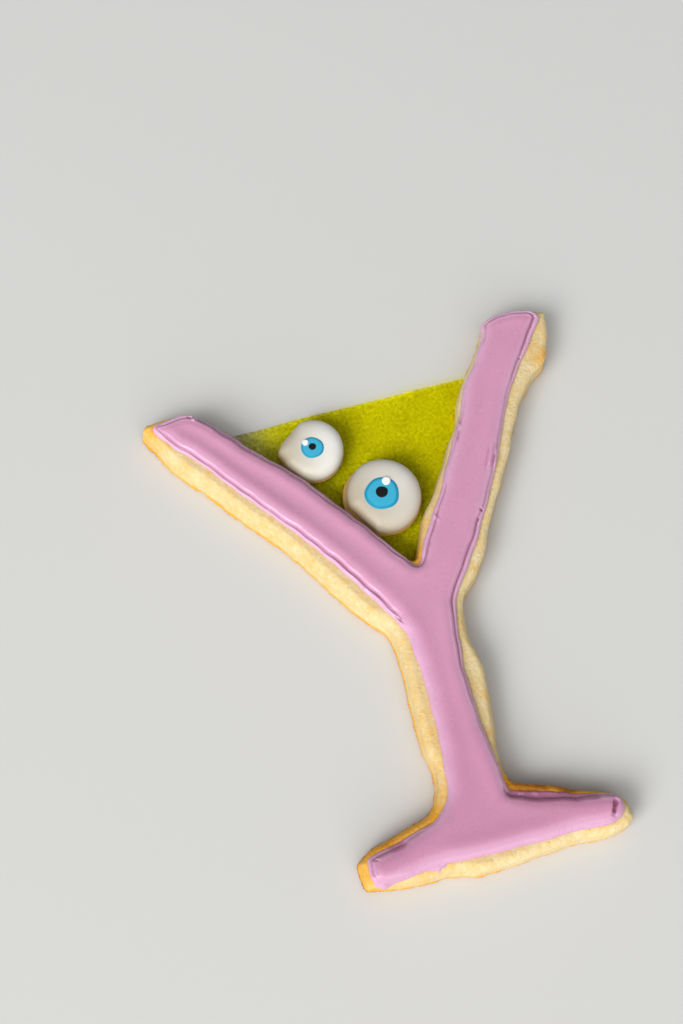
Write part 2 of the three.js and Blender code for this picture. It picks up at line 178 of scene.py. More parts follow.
@dataclass(frozen=True)
class GrainField:
    """Repeatable smooth noise in space, from a lattice of seeded random numbers."""

    seed: int
    cells: int = 40
    layer_shift: float = 17.3

    def sample(self, points: Array, size: float) -> Array:
        """Read the noise.

        Args:
            points: places in millimetres, with two or three columns.
            size: the size of one lump, in millimetres.

        Returns:
            A number from -1 to 1 for each place.
        """
        lattice = np.random.default_rng(self.seed).uniform(-1.0, 1.0, (self.cells,) * 3)
        solid = np.zeros((len(points), 3))
        solid[:, :points.shape[1]] = points / size
        low = np.floor(solid).astype(int)
        share = solid - low
        share = share * share * (3.0 - 2.0 * share)
        total = np.zeros(len(points))
        for step in np.ndindex(2, 2, 2):
            corner = (low + step) % self.cells
            weight = np.prod(np.where(step, share, 1.0 - share), axis=1)
            total += weight * lattice[corner[:, 0], corner[:, 1], corner[:, 2]]
        return total

    def layered(self, points: Array, size: float, layers: int = 3) -> Array:
        """Read noise of halving sizes added up.

        Args:
            points: places in millimetres.
            size: the size of the largest lump, in millimetres.
            layers: how many sizes are added.

        Returns:
            A number of about -1 to 1 for each place.
        """
        total = np.zeros(len(points))
        for layer in range(layers):
            total += self.sample(points + self.layer_shift * layer, size / 2**layer) / 2**layer
        return total / (2.0 - 0.5 ** (layers - 1))


@dataclass(frozen=True)
class CutOutline:
    """Closed outline given by its corners, each an (x, y) bend or an (x, y, radius) corner."""

    corners: tuple[Corner, ...]
    bend_share: float = 0.42
    arc_steps: int = 8

    def _turns(self) -> tuple[Array, Array, Array, Array, Array]:
        """Work out each corner's place, edge directions, shorter edge and turning angle.

        Returns:
            Points, arriving directions, leaving directions, shorter edges and turns.
        """
        points = np.array([corner[:2] for corner in self.corners], dtype=float)
        arriving = points - np.roll(points, 1, axis=0)
        leaving = np.roll(points, -1, axis=0) - points
        arriving_length = np.linalg.norm(arriving, axis=1)
        leaving_length = np.linalg.norm(leaving, axis=1)
        arriving = arriving / arriving_length[:, None]
        leaving = leaving / leaving_length[:, None]
        cross = arriving[:, 0] * leaving[:, 1] - arriving[:, 1] * leaving[:, 0]
        turn = np.arctan2(cross, np.sum(arriving * leaving, axis=1))
        return points, arriving, leaving, np.minimum(arriving_length, leaving_length), turn

    def grown(self, distance: float) -> "CutOutline":
        """Move every edge outward.

        Args:
            distance: how far each edge moves, in millimetres.

        Returns:
            The grown outline, with gentle bends only.
        """
        points, arriving, leaving, _, turn = self._turns()
        outward = np.stack([arriving[:, 1] + leaving[:, 1], -arriving[:, 0] - leaving[:, 0]], axis=1)
        outward /= np.linalg.norm(outward, axis=1)[:, None]
        moved = points + outward * (distance / np.cos(turn / 2.0))[:, None]
        return CutOutline(tuple((x, y) for x, y in moved))

    def trace(self, step: float) -> Array:
        """Follow the outline with its corners rounded.

        Args:
            step: distance between points, in millimetres.

        Returns:
            Points along the closed outline, evenly spaced, counterclockwise.
        """
        points, arriving, leaving, shorter, turn = self._turns()
        path = []
        for i, corner in enumerate(self.corners):
            limit = shorter[i] * self.bend_share
            rounded = len(corner) > 2
            reach = min(corner[2] * math.tan(abs(turn[i]) / 2.0), limit) if rounded else limit
            start = points[i] - arriving[i] * reach
            end = points[i] + leaving[i] * reach
            for share in np.linspace(0.0, 1.0, self.arc_steps + 1):
                first = start + (points[i] - start) * share
                second = points[i] + (end - points[i]) * share
                path.append(first + (second - first) * share)
        return resampled(np.array(path), step)


def resampled(ring: Array, step: float) -> Array:
    """Space the points of a closed ring evenly.

    Args:
        ring: points of the ring, in order.
        step: the distance wanted between points.

    Returns:
        The evenly spaced ring.
    """
    closed = np.vstack([ring, ring[:1]])
    along = np.concatenate([[0.0], np.cumsum(np.linalg.norm(np.diff(closed, axis=0), axis=1))])
    count = max(FEWEST_POINTS, int(round(along[-1] / step)))
    places = np.linspace(0.0, along[-1], count, endpoint=False)
    return np.stack([np.interp(places, along, closed[:, axis]) for axis in (0, 1)], axis=1)


def outward_normals(ring: Array) -> Array:
    """Directions that point out of a counterclockwise ring.

    Args:
        ring: points of the ring, in order.

    Returns:
        One unit direction for each point.
    """
    along = np.roll(ring, -1, axis=0) - np.roll(ring, 1, axis=0)
    normal = np.stack([along[:, 1], -along[:, 0]], axis=1)
    return normal / np.linalg.norm(normal, axis=1)[:, None]


class EdgeRuler:
    """Measures how deep places lie inside a closed ring."""

    def __init__(self, ring: Array, step: float = 0.1) -> None:
        """Prepare the ring.

        Args:
            ring: points of the ring, in millimetres.
            step: spacing of the points measured against.
        """
        self._edge = resampled(ring, step)
        self._normal = outward_normals(self._edge)
        self._tree = KDTree(len(self._edge))
        for i, point in enumerate(self._edge):
            self._tree.insert((point[0], point[1], 0.0), i)
        self._tree.balance()

    def depth(self, points: Array) -> Array:
        """Distance to the ring, positive inside.

        Args:
            points: places in millimetres.

        Returns:
            The depth of each place.
        """
        found = [self._tree.find((point[0], point[1], 0.0))[1:] for point in points]
        index = np.array([item[0] for item in found], dtype=int)
        distance = np.array([item[1] for item in found])
        side = np.sum((points - self._edge[index]) * self._normal[index], axis=1)
        return np.where(side > 0.0, -distance, distance)


@dataclass(frozen=True)
class NoteMap:
    """Numbers written down at places along an edge and blended between them."""

    notes: tuple[tuple[float, ...], ...]
    softness: float = 0.6

    def read(self, points: Array) -> Array:
        """Blend the notes; near a note its own numbers win.

        Args:
            points: rows that start with x and y, in millimetres.

        Returns:
            One row for each number of a note, one column for each point.
        """
        table = np.array(self.notes)
        off = points[:, None, :2] - table[None, :, :2]
        weight = 1.0 / (np.sum(off**2, axis=2) + self.softness) ** 2
        weight /= weight.sum(axis=1)[:, None]
        return (weight @ table[:, 2:]).T


@dataclass(frozen=True)
class HeightSheet:
    """Heights on a plain square grid, softened, to be read between its points."""

    low: Array
    spacing: float
    rows: Array
    kernel_reaches: ClassVar[float] = 3.0
    least_weight: ClassVar[float] = 1e-6

    @staticmethod
    def softened(ring: Array, spacing: float, reach: float,
                 form: Callable[[Array], tuple[Array, Array]]) -> "HeightSheet":
        """Work out heights over a ring's box and soften them.

        Args:
            ring: the ring, in millimetres.
            spacing: the grid's spacing.
            reach: how far the softening reaches.
            form: gives each place's height and whether it counts, 1 or 0.

        Returns:
            The softened sheet.
        """
        low, high = ring.min(axis=0) - spacing, ring.max(axis=0) + 2.0 * spacing
        columns = np.arange(low[0], high[0], spacing)
        lines = np.arange(low[1], high[1], spacing)
        grid = np.stack(np.meshgrid(columns, lines), axis=-1)
        sheets = [part.reshape(grid.shape[:2]) for part in form(grid.reshape(-1, 2))]
        sheets[0] = sheets[0] * sheets[1]
        ends = int(HeightSheet.kernel_reaches * reach / spacing)
        kernel = np.exp(-0.5 * (np.arange(-ends, ends + 1) * spacing / reach) ** 2)
        for axis in (0, 1):
            sheets = [np.apply_along_axis(np.convolve, axis, part, kernel, "same") for part in sheets]
        return HeightSheet(low, spacing, sheets[0] / np.maximum(sheets[1], HeightSheet.least_weight))

    def read(self, points: Array) -> Array:
        """Height at each place.

        Args:
            points: rows of x and y in millimetres.

        Returns:
            The heights.
        """
        place = (points - self.low) / self.spacing
        whole = np.clip(np.floor(place).astype(int), 0, np.array(self.rows.shape[::-1]) - 2)
        share = np.clip(place - whole, 0.0, 1.0)
        total = np.zeros(len(points))
        for right, up in np.ndindex(2, 2):
            weight = np.abs(1 - right - share[:, 0]) * np.abs(1 - up - share[:, 1])
            total += weight * self.rows[whole[:, 1] + up, whole[:, 0] + right]
        return total


# ------------ meshes


@dataclass(frozen=True)
class Placement:
    """Puts the glass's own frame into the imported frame."""

    shift_x: float
    shift_y: float

    @staticmethod
    def from_solid(node: str, ring: Array) -> "Placement":
        """Match a ring's box to the box of the solid it outlines.

        Args:
            node: the solid's name.
            ring: its outline in millimetres.

        Returns:
            The placement that lays the ring over the solid.
        """
        low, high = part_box(node)
        middle = (ring.min(axis=0) + ring.max(axis=0)) / 2.0
        centre = [(low[axis] + high[axis]) / 2.0 / MM for axis in (0, 1)]
        return Placement(centre[0] - middle[0], centre[1] - middle[1])

    def metres(self, points: Array) -> Array:
        """Millimetres of the glass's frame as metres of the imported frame."""
        return (np.asarray(points, dtype=float) + [self.shift_x, self.shift_y, 0.0]) * MM


def linked(name: str, data: bpy.types.ID) -> bpy.types.Object:
    """Make an object and link it to the scene.

    Args:
        name: its name.
        data: its mesh, lamp or camera.

    Returns:
        The new object.
    """
    made = bpy.data.objects.new(name, data)
    bpy.context.scene.collection.objects.link(made)
    return made


class Shell:
    """Closed mesh put together from rings, walls and filled faces."""

    def __init__(self) -> None:
        """Start with nothing."""
        self._points: list[Array] = []
        self._values: dict[str, list[Array]] = {}
        self._faces: list[tuple[int, ...]] = []
        self._count = 0

    def points(self, places: Array, **values: Array | float) -> Array:
        """Add points.

        Args:
            places: rows of x, y, z in millimetres.
            values: numbers kept with the points, by attribute name.

        Returns:
            The new points' indices.
        """
        count = len(places)
        known = set(self._values) | set(values)
        for name in known:
            if name not in self._values:
                self._values[name] = [np.zeros(self._count)]
            self._values[name].append(np.broadcast_to(values.get(name, 0.0), (count,)).astype(float))
        self._points.append(np.asarray(places, dtype=float))
        self._count += count
        return np.arange(self._count - count, self._count)

    def wall(self, low: Array, high: Array) -> None:
        """Join two rings of equal length.

        Args:
            low: indices of the lower or outer ring.
            high: indices of the upper or inner ring.
        """
        low_next, high_next = np.roll(low, -1), np.roll(high, -1)
        self._faces += [tuple(int(i) for i in quad) for quad in zip(low, low_next, high_next, high)]

    def walls(self, rings: Sequence[Array]) -> None:
        """Join each ring to the next."""
        for low, high in zip(rings, rings[1:]):
            self.wall(low, high)

    def triangles(self, faces: Array, flipped: bool = False) -> None:
        """Add triangles.

        Args:
            faces: rows of three indices.
            flipped: whether their order is turned round.
        """
        order = [0, 2, 1] if flipped else [0, 1, 2]
        self._faces += [tuple(int(i) for i in face) for face in np.asarray(faces)[:, order]]

    def fan(self, ring: Array, tip: int) -> None:
        """Close a ring onto one point above or inside it.

        Args:
            ring: indices of the ring, counterclockwise seen from outside.
            tip: index of the point.
        """
        self._faces += [(int(a), int(b), int(tip)) for a, b in zip(ring, np.roll(ring, -1))]

    def rounded(self, rings: Sequence[Array], ends: Array,
                **values: Array | float) -> None:
        """Join rings into a round form that closes onto a point at each end.

        Args:
            rings: indices of the rings, from below.
            ends: places of the point below and the point above.
            values: numbers kept with the two points.
        """
        self.walls(rings)
        under, tip = self.points(ends, **values)
        self.fan(rings[0][::-1], under)
        self.fan(rings[-1], tip)

    def cap(self, filling: "Filling", rim: Array, height: Array | float,
            flipped: bool = False, **values: Array | float) -> None:
        """Close a ring of the mesh with a filling.

        Args:
            filling: triangles that fill the ring.
            rim: indices of the ring's points in the mesh.
            height: z of the filling's points, in millimetres.
            flipped: whether it faces down.
            values: numbers kept with the filling's points.
        """
        indices = self.points(with_height(filling.points, height), **values)
        indices[filling.rim] = rim
        self.triangles(indices[filling.faces], flipped)

    def made(self, name: str, placement: Placement) -> bpy.types.Object:
        """Make the Blender object.

        Args:
            name: the piece's name.
            placement: where the glass's frame lies.

        Returns:
            The new object, linked to the scene.
        """
        mesh = bpy.data.meshes.new(name)
        places = placement.metres(np.vstack(self._points))
        mesh.from_pydata(places.tolist(), [], self._faces)
        for label, parts in self._values.items():
            layer = mesh.attributes.new(label, "FLOAT", "POINT")
            layer.data.foreach_set("value", np.concatenate(parts).astype(np.float32))
        mesh.shade_smooth()
        mesh.update()
        return linked(name, mesh)


@dataclass(frozen=True)
class Filling:
    """Triangles that fill a ring, on points that follow its edge and then a plain grid."""

    points: Array
    depth: Array
    faces: Array
    rim: Array
    # a row keeps fewer points the more of these steps of the edge it lies in
    thinning: ClassVar[float] = 4.4
    row_share: ClassVar[float] = 0.97
    row_slack: ClassVar[float] = 0.01
    line_share: ClassVar[float] = 0.866
    grid_margin: ClassVar[float] = 0.6
    extra_margin: ClassVar[float] = 0.3
    merge_distance: ClassVar[float] = 1e-5
    inside_only: ClassVar[int] = 1

    @staticmethod
    def inside(ring: Array, insets: Sequence[float], grid: float,
               extra: Array | None = None,
               cleared: Callable[[Array], Array] | None = None) -> "Filling":
        """Fill a ring.

        Args:
            ring: closed ring in millimetres, counterclockwise.
            insets: depths at which rows of points follow the edge.
            grid: spacing of the plain grid beyond the last row.
            extra: further points to use.
            cleared: tells which of the other points are left out, to make room for `extra`.

        Returns:
            The filling; `rim` holds the indices of the ring's own points, in order.
        """
        ruler = EdgeRuler(ring)
        normal = outward_normals(ring)
        spacing = float(np.linalg.norm(ring[1] - ring[0]))
        rows, depths = [ring], [np.zeros(len(ring))]
        for inset in insets:
            stride = max(1, int(inset / (Filling.thinning * spacing)))
            row = ring[::stride] - normal[::stride] * inset
            depth = ruler.depth(row)
            kept = depth > Filling.row_share * inset - Filling.row_slack
            if cleared is not None:
                kept &= ~cleared(row)
            rows.append(row[kept])
            depths.append(np.full(int(kept.sum()), inset))
        plain = Filling._grid(ring, grid)
        depth = ruler.depth(plain)
        kept = depth > max(insets) + Filling.grid_margin * grid
        if cleared is not None:
            kept &= ~cleared(plain)
        rows.append(plain[kept])
        depths.append(depth[kept])
        if extra is not None:
            depth = ruler.depth(extra)
            kept = depth > Filling.extra_margin
            rows.append(extra[kept])
            depths.append(depth[kept])
        points, depth = np.vstack(rows), np.concatenate(depths)
        loop = list(range(len(ring)))
        out = delaunay_2d_cdt([tuple(point) for point in points], [], [loop], Filling.inside_only,
                              Filling.merge_distance)
        vertices, faces, origins = out[0], out[2], out[3]
        placed = np.array([[vertex[0], vertex[1]] for vertex in vertices])
        kept_depth = np.array([depth[origin[0]] if origin else 0.0 for origin in origins])
        rim = np.zeros(len(ring), dtype=int)
        for index, origin in enumerate(origins):
            for source in origin:
                if source < len(ring):
                    rim[source] = index
        return Filling(placed, kept_depth, np.array([list(face) for face in faces]), rim)

    @staticmethod
    def _grid(ring: Array, grid: float) -> Array:
        """Plain grid over a ring's box, with every second line moved by half a step.

        Args:
            ring: the ring, in millimetres.
            grid: the grid's spacing.

        Returns:
            Rows of x and y.
        """
        low, high = ring.min(axis=0), ring.max(axis=0)
        columns = np.arange(low[0], high[0], grid)
        lines = np.arange(low[1], high[1], grid * Filling.line_share)
        mesh_x, mesh_y = np.meshgrid(columns, lines)
        mesh_x = mesh_x + (np.arange(len(lines)) % 2)[:, None] * grid * 0.5
        return np.stack([mesh_x.ravel(), mesh_y.ravel()], axis=1)


def with_height(points: Array, height: Array | float) -> Array:
    """Flat points as points in space.

    Args:
        points: rows of x and y.
        height: their z.

    Returns:
        Rows of x, y and z.
    """
    return np.column_stack([points, np.broadcast_to(height, (len(points),))])


# ------------ node helpers


def paint(red: int, green: int, blue: int) -> tuple[float, float, float, float]:
    """A colour from 0 to 255 as the shader's linear numbers, by the standard sRGB curve.

    Args:
        red: red from 0 to 255.
        green: green from 0 to 255.
        blue: blue from 0 to 255.

    Returns:
        Linear red, green, blue and an alpha of 1.
    """
    def linear(value: int) -> float:
        """One channel as a linear number."""
        share = value / 255.0
        return share / 12.92 if share <= 0.04045 else ((share + 0.055) / 1.055) ** 2.4

    return linear(red), linear(green), linear(blue), 1.0


class NodeSheet:
    """Short calls that add and join the nodes of one tree."""

    def __init__(self, tree: bpy.types.NodeTree) -> None:
        """Keep the tree.

        Args:
            tree: a material's or a group's node tree.
        """
        self.tree = tree

    def feed(self, socket: Socket, value: object) -> None:
        """Link a socket, or set its value.

        Args:
            socket: the input.
            value: another node's output, or a plain value.
        """
        if isinstance(value, Socket):
            self.tree.links.new(value, socket)
        else:
            socket.default_value = value

    def add(self, kind: str, inputs: dict[str | int, object] | None = None,
            **settings: object) -> Node:
        """Add a node.

        Args:
            kind: the node's type.
            inputs: what its inputs get, by name or number.
            settings: the node's own settings.

        Returns:
            The node.
        """
        node = self.tree.nodes.new(kind)
        for name, value in settings.items():
            setattr(node, name, value)
        for name, value in (inputs or {}).items():
            self.feed(node.inputs[name], value)
        return node

    def math(self, operation: str, first: object, second: object = 0.0) -> Socket:
        """One sum on numbers.

        Args:
            operation: what is done.
            first: the first number or socket.
            second: the second.

        Returns:
            The result's socket.
        """
        node = self.add("ShaderNodeMath", {0: first, 1: second}, operation=operation)
        return node.outputs[0]

    def mix(self, factor: object, first: object, second: object,
            blend: str = "MIX") -> Socket:
        """Blend two colours.

        Args:
            factor: share of the second.
            first: the first colour or socket.
            second: the second.
            blend: how they are blended.

        Returns:
            The blended colour's socket.
        """
        node = self.add("ShaderNodeMix", data_type="RGBA", blend_type=blend)
        self.feed(node.inputs["Factor"], factor)
        first_colour, second_colour = [i for i in node.inputs if i.enabled and i.type == "RGBA"]
        self.feed(first_colour, first)
        self.feed(second_colour, second)
        return next(i for i in node.outputs if i.enabled)

    def spread(self, value: object, low: float, high: float, to_low: float = 0.0,
               to_high: float = 1.0) -> Socket:
        """Stretch a range of numbers smoothly.

        Args:
            value: the number or socket.
            low: the range's low end.
            high: its high end.
            to_low: what the low end becomes.
            to_high: what the high end becomes.

        Returns:
            The result's socket.
        """
        node = self.add("ShaderNodeMapRange", {
            "Value": value, "From Min": low, "From Max": high, "To Min": to_low, "To Max": to_high,
        }, interpolation_type="SMOOTHSTEP")
        return node.outputs["Result"]

    def ramp(self, value: object, stops: Sequence[tuple[float, Sequence[float]]]
             ) -> Socket:
        """Colours along a number.

        Args:
            value: the number's socket.
            stops: places from 0 to 1 with their colours.

        Returns:
            The colour's socket.
        """
        node = self.add("ShaderNodeValToRGB", {"Fac": value})
        elements = node.color_ramp.elements
        while len(elements) < len(stops):
            elements.new(0.5)
        for element, (place, colour) in zip(elements, stops):
            element.position = place
            element.color = colour
        return node.outputs["Color"]


PITS_PER_GRAIN = 0.7
PIT_REACH = (0.05, 0.32)


class SharedEffect(Enum):
    """Surface effects that more than one finish uses."""

    GRAIN = "fine_grain"
    MOTTLE = "slow_mottle"

    def group(self) -> bpy.types.ShaderNodeTree:
        """The effect's node group, built the first time it is asked for."""
        made = bpy.data.node_groups.get(self.value)
        if made is None:
            made = {SharedEffect.GRAIN: _grain_group, SharedEffect.MOTTLE: _mottle_group}[self]()
        return made


def _new_group(effect: SharedEffect, values: dict[str, float],
               result: str) -> tuple[NodeSheet, dict[str, Socket], Socket]:
    """Start a shader group that reads a position and gives one number.

    Args:
        effect: which effect it makes.
        values: names and starting values of its further inputs.
        result: name of its output.

    Returns:
        The sheet to build on, the given sockets by name, and the socket for the result.
    """
    tree = bpy.data.node_groups.new(effect.value, "ShaderNodeTree")
    tree.interface.new_socket(name="Position", in_out="INPUT", socket_type="NodeSocketVector")
    for label, start in values.items():
        socket = tree.interface.new_socket(name=label, in_out="INPUT", socket_type="NodeSocketFloat")
        socket.default_value = start
    tree.interface.new_socket(name=result, in_out="OUTPUT", socket_type="NodeSocketFloat")
    sheet = NodeSheet(tree)
    given = {socket.name: socket for socket in sheet.add("NodeGroupInput").outputs}
    return sheet, given, sheet.add("NodeGroupOutput").inputs[result]


def _grain_group() -> bpy.types.ShaderNodeTree:
    """Fine grain: lumps and pits of one size, with finer ones on them.

    Returns:
        The node group.
    """
    sheet, given, height = _new_group(
        SharedEffect.GRAIN, {"Grains per metre": 1500.0, "Pits": 0.5}, "Height")
    lumps = sheet.add("ShaderNodeTexNoise", {
        "Vector": given["Position"], "Scale": given["Grains per metre"], "Detail": 3.0,
        "Roughness": 0.6,
    })
    cells = sheet.add("ShaderNodeTexVoronoi", {
        "Vector": given["Position"],
        "Scale": sheet.math("MULTIPLY", given["Grains per metre"], PITS_PER_GRAIN),
    })
    pit = sheet.spread(cells.outputs["Distance"], *PIT_REACH, 1.0, 0.0)
    pit = sheet.math("MULTIPLY", pit, given["Pits"])
    sheet.feed(height, sheet.math("SUBTRACT", lumps.outputs["Fac"], pit))
    return sheet.tree


def _mottle_group() -> bpy.types.ShaderNodeTree:
    """Slow mottling from 0 to 1, in patches of one size.

    Returns:
        The node group.
    """
    sheet, given, amount = _new_group(
        SharedEffect.MOTTLE, {"Patches per metre": 150.0, "Contrast": 0.25}, "Amount")
    patches = sheet.add("ShaderNodeTexNoise", {
        "Vector": given["Position"], "Scale": given["Patches per metre"], "Detail": 4.0,
        "Roughness": 0.55,
    })
    stretched = sheet.add("ShaderNodeMapRange", {
        "Value": patches.outputs["Fac"],
        "From Min": sheet.math("SUBTRACT", 0.5, given["Contrast"]),
        "From Max": sheet.math("ADD", 0.5, given["Contrast"]),
    })
    sheet.feed(amount, stretched.outputs["Result"])
    return sheet.tree


@dataclass(frozen=True)
class Blank:
    """A new material's nodes, object coordinates, Principled shader and output."""

    sheet: NodeSheet
    place: Socket
    surface: Node
    output: Node

    def attribute(self, name: str) -> Socket:
        """A number kept with the mesh's points."""
        return self.sheet.add("ShaderNodeAttribute", attribute_name=name).outputs["Fac"]

    def shared(self, effect: SharedEffect, size: float, second: float) -> Node:
        """Place a shared effect.

        Args:
            effect: which one.
            size: size of one grain or patch in millimetres.
            second: depth of the grain's pits, or the mottling's half range of noise.

        Returns:
            The group node.
        """
        return self.sheet.add("ShaderNodeGroup", {
            "Position": self.place, 1: 1.0 / (size * MM), 2: second,
        }, node_tree=effect.group())

    def mottle(self, size: float, contrast: float) -> Socket:
        """Slow mottling from 0 to 1; a smaller contrast value is harder."""
        return self.shared(SharedEffect.MOTTLE, size, contrast).outputs["Amount"]

    def blend(self, share: Socket, pair: tuple[Rgb, Rgb]) -> Socket:
        """Go from the first colour of a pair to the second."""
        return self.sheet.mix(share, paint(*pair[0]), paint(*pair[1]))

    def over(self, colour: Socket, name: str, tone: Rgb) -> Socket:
        """Lay a tone over a colour where an attribute says."""
        return self.sheet.mix(self.attribute(name), colour, paint(*tone))


@dataclass(frozen=True)
class Skin:
    """Grain, relief, shine and glow of a finish; sizes are in millimetres."""

    grain_size: float
    pits: float
    relief: float
    roughness: Span
    specular: float = 0.5
    glow: float = 0.0
    glow_radius: Colour = (1.0, 1.0, 1.0)
    glow_reach: float = 1.0

    def cover(self, blank: Blank, uneven: Socket) -> None:
        """Fill in the surface apart from its colour.

        Args:
            blank: the material.
            uneven: what the roughness follows, from 0 to 1.
        """
        sheet, inputs = blank.sheet, blank.surface.inputs
        sheet.feed(inputs["Roughness"], sheet.spread(uneven, 0.0, 1.0, *self.roughness))
        inputs["Specular IOR Level"].default_value = self.specular
        inputs["Subsurface Weight"].default_value = self.glow
        inputs["Subsurface Radius"].default_value = self.glow_radius
        inputs["Subsurface Scale"].default_value = self.glow_reach * MM
        grain = blank.shared(SharedEffect.GRAIN, self.grain_size, self.pits)
        bump = sheet.add("ShaderNodeBump", {
            "Height": grain.outputs["Height"], "Distance": self.relief * MM, "Strength": 1.0,
        })
        sheet.feed(inputs["Normal"], bump.outputs["Normal"])


@dataclass(frozen=True)
class Finish:
    """A material with a Principled surface; each kind fills in its colour."""

    name: str
    slot: str
    skin: Skin

    def made(self) -> bpy.types.Material:
        """The finish's material, built the first time it is asked for.

        Returns:
            The material.
        """
        known = bpy.data.materials.get(self.name)
        if known is not None:
            return known
        material = bpy.data.materials.new(self.name)
        material.use_nodes = True
        material.node_tree.nodes.clear()
        sheet = NodeSheet(material.node_tree)
        blank = Blank(sheet, sheet.add("ShaderNodeTexCoord").outputs["Object"],
                      sheet.add("ShaderNodeBsdfPrincipled"), sheet.add("ShaderNodeOutputMaterial"))
        sheet.feed(blank.output.inputs["Surface"], blank.surface.outputs["BSDF"])
        colour, uneven = self.dress(blank)
        sheet.feed(blank.surface.inputs["Base Color"], colour)
        self.skin.cover(blank, uneven)
        return material

    def dress(self, blank: Blank) -> tuple[Socket, Socket]:
        """Work out the colour.

        Args:
            blank: the material.

        Returns:
            The colour, and what the roughness follows.
        """
        raise NotImplementedError


@dataclass(frozen=True)
class BakedDough(Finish):
    """Pale baked crumb that goes from cream over gold to brown with the `bake` attribute."""

    browning: tuple[tuple[float, Rgb], ...] = (
        (0.0, (224, 210, 176)), (0.25, (214, 191, 139)), (0.5, (221, 171, 82)),
        (0.72, (224, 158, 38)), (1.0, (172, 106, 20)),
    )
    patch_size: float = 3.2
    speckle_size: float = 0.9
    contrast: float = 0.2
    unevenness: float = 0.17

    def dress(self, blank: Blank) -> tuple[Socket, Socket]:
        """Brown the crumb unevenly.

        Args:
            blank: the material.

        Returns:
            The colour, and what the roughness follows.
        """
        sheet = blank.sheet
        patches = blank.mottle(self.patch_size, self.contrast)
        speckle = blank.mottle(self.speckle_size, self.contrast)
        bake = blank.attribute("bake")
        for uneven in (patches, speckle):
            bake = sheet.math("ADD", bake, sheet.math("MULTIPLY", uneven, self.unevenness))
        return sheet.ramp(bake, [(stop, paint(*tone)) for stop, tone in self.browning]), speckle


@dataclass(frozen=True)
class MauveIcing(Finish):
    """Smooth royal icing, pinker on the flood and more lilac on the piped border, with painted sheen and
    painted shade laid over it.
    """

    flood: tuple[Rgb, Rgb] = ((204, 145, 176), (207, 148, 179))
    # lilac of the piped border, made paler to stand partly for painted sheen on the rim and shoulders
    border: Rgb = (210, 165, 196)
    # painted shade: darker mauve for the grooves, the shaded shelf, pressed creases and the foot
    groove: Rgb = (160, 88, 120)
    painted_shade_share: float = 0.8
    patch_size: float = 7.0
    contrast: float = 0.6

    def dress(self, blank: Blank) -> tuple[Socket, Socket]:
        """Lay the border's lilac, partly painted sheen, and the painted shade over the flood.

        Args:
            blank: the material.

        Returns:
            The colour, and what the roughness follows.
        """
        patches = blank.mottle(self.patch_size, self.contrast)
        colour = blank.over(blank.blend(patches, self.flood), "border", self.border)
        share = blank.sheet.math("MULTIPLY", blank.attribute("groove"), self.painted_shade_share)
        return blank.sheet.mix(share, colour, paint(*self.groove)), patches


@dataclass(frozen=True)
class LimeCandy(Finish):
    """Clear yellow-green candy, coloured through its depth, with a mottled underside."""

    cloud: tuple[Rgb, Rgb] = ((240, 238, 222), (255, 255, 252))
    cloud_size: float = 6.0
    cloud_contrast: float = 0.22
    specks: tuple[Rgb, Rgb] = ((206, 202, 170), (255, 255, 255))
    speck_size: float = 0.8
    speck_contrast: float = 0.13
    refraction: float = 1.15
    shadow_tint: tuple[float, ...] = (0.97, 0.97, 0.94, 1.0)
    depth_tint: tuple[float, ...] = (0.981, 0.976, 0.0, 1.0)
    density: float = 1150.0

    def dress(self, blank: Blank) -> tuple[Socket, Socket]:
        """Make the candy clear, and let light through it into its shadow.

        Args:
            blank: the material.

        Returns:
            The colour, and what the roughness follows.
        """
        sheet, surface = blank.sheet, blank.surface
        surface.inputs["Transmission Weight"].default_value = 1.0
        surface.inputs["IOR"].default_value = self.refraction
        path = sheet.add("ShaderNodeLightPath")
        clear = sheet.add("ShaderNodeBsdfTransparent", {"Color": self.shadow_tint})
        lit = sheet.add("ShaderNodeMixShader", {
            0: path.outputs["Is Shadow Ray"], 1: surface.outputs["BSDF"], 2: clear.outputs["BSDF"],
        })
        sheet.feed(blank.output.inputs["Surface"], lit.outputs["Shader"])
        depth = sheet.add("ShaderNodeVolumeAbsorption", {
            "Color": self.depth_tint, "Density": self.density,
        })
        sheet.feed(blank.output.inputs["Volume"], depth.outputs["Volume"])
        patches = blank.mottle(self.cloud_size, self.cloud_contrast)
        tint = blank.blend(blank.mottle(self.speck_size, self.speck_contrast), self.specks)
        return sheet.mix(1.0, blank.blend(patches, self.cloud), tint, "MULTIPLY"), patches


@dataclass(frozen=True)
class EyeIcing(Finish):
    """Ivory icing of a candy eye: shade painted on by `shade`, tanned round its foot by `edge`."""

    clean: tuple[Rgb, Rgb] = ((240, 240, 234), (244, 244, 240))
    # painted shade on the side of the white turned from the light
    eye_shade_tone: Rgb = (168, 155, 129)
    tanned: Rgb = (196, 152, 84)
    patch_size: float = 4.0
    contrast: float = 0.25

    def dress(self, blank: Blank) -> tuple[Socket, Socket]:
        """Paint shade on the white's shaded side and tan its foot.

        Args:
            blank: the material.

        Returns:
            The colour, and what the roughness follows.
        """
        patches = blank.mottle(self.patch_size, self.contrast)
        colour = blank.over(blank.blend(patches, self.clean), "shade", self.eye_shade_tone)
        return blank.over(colour, "edge", self.tanned), patches


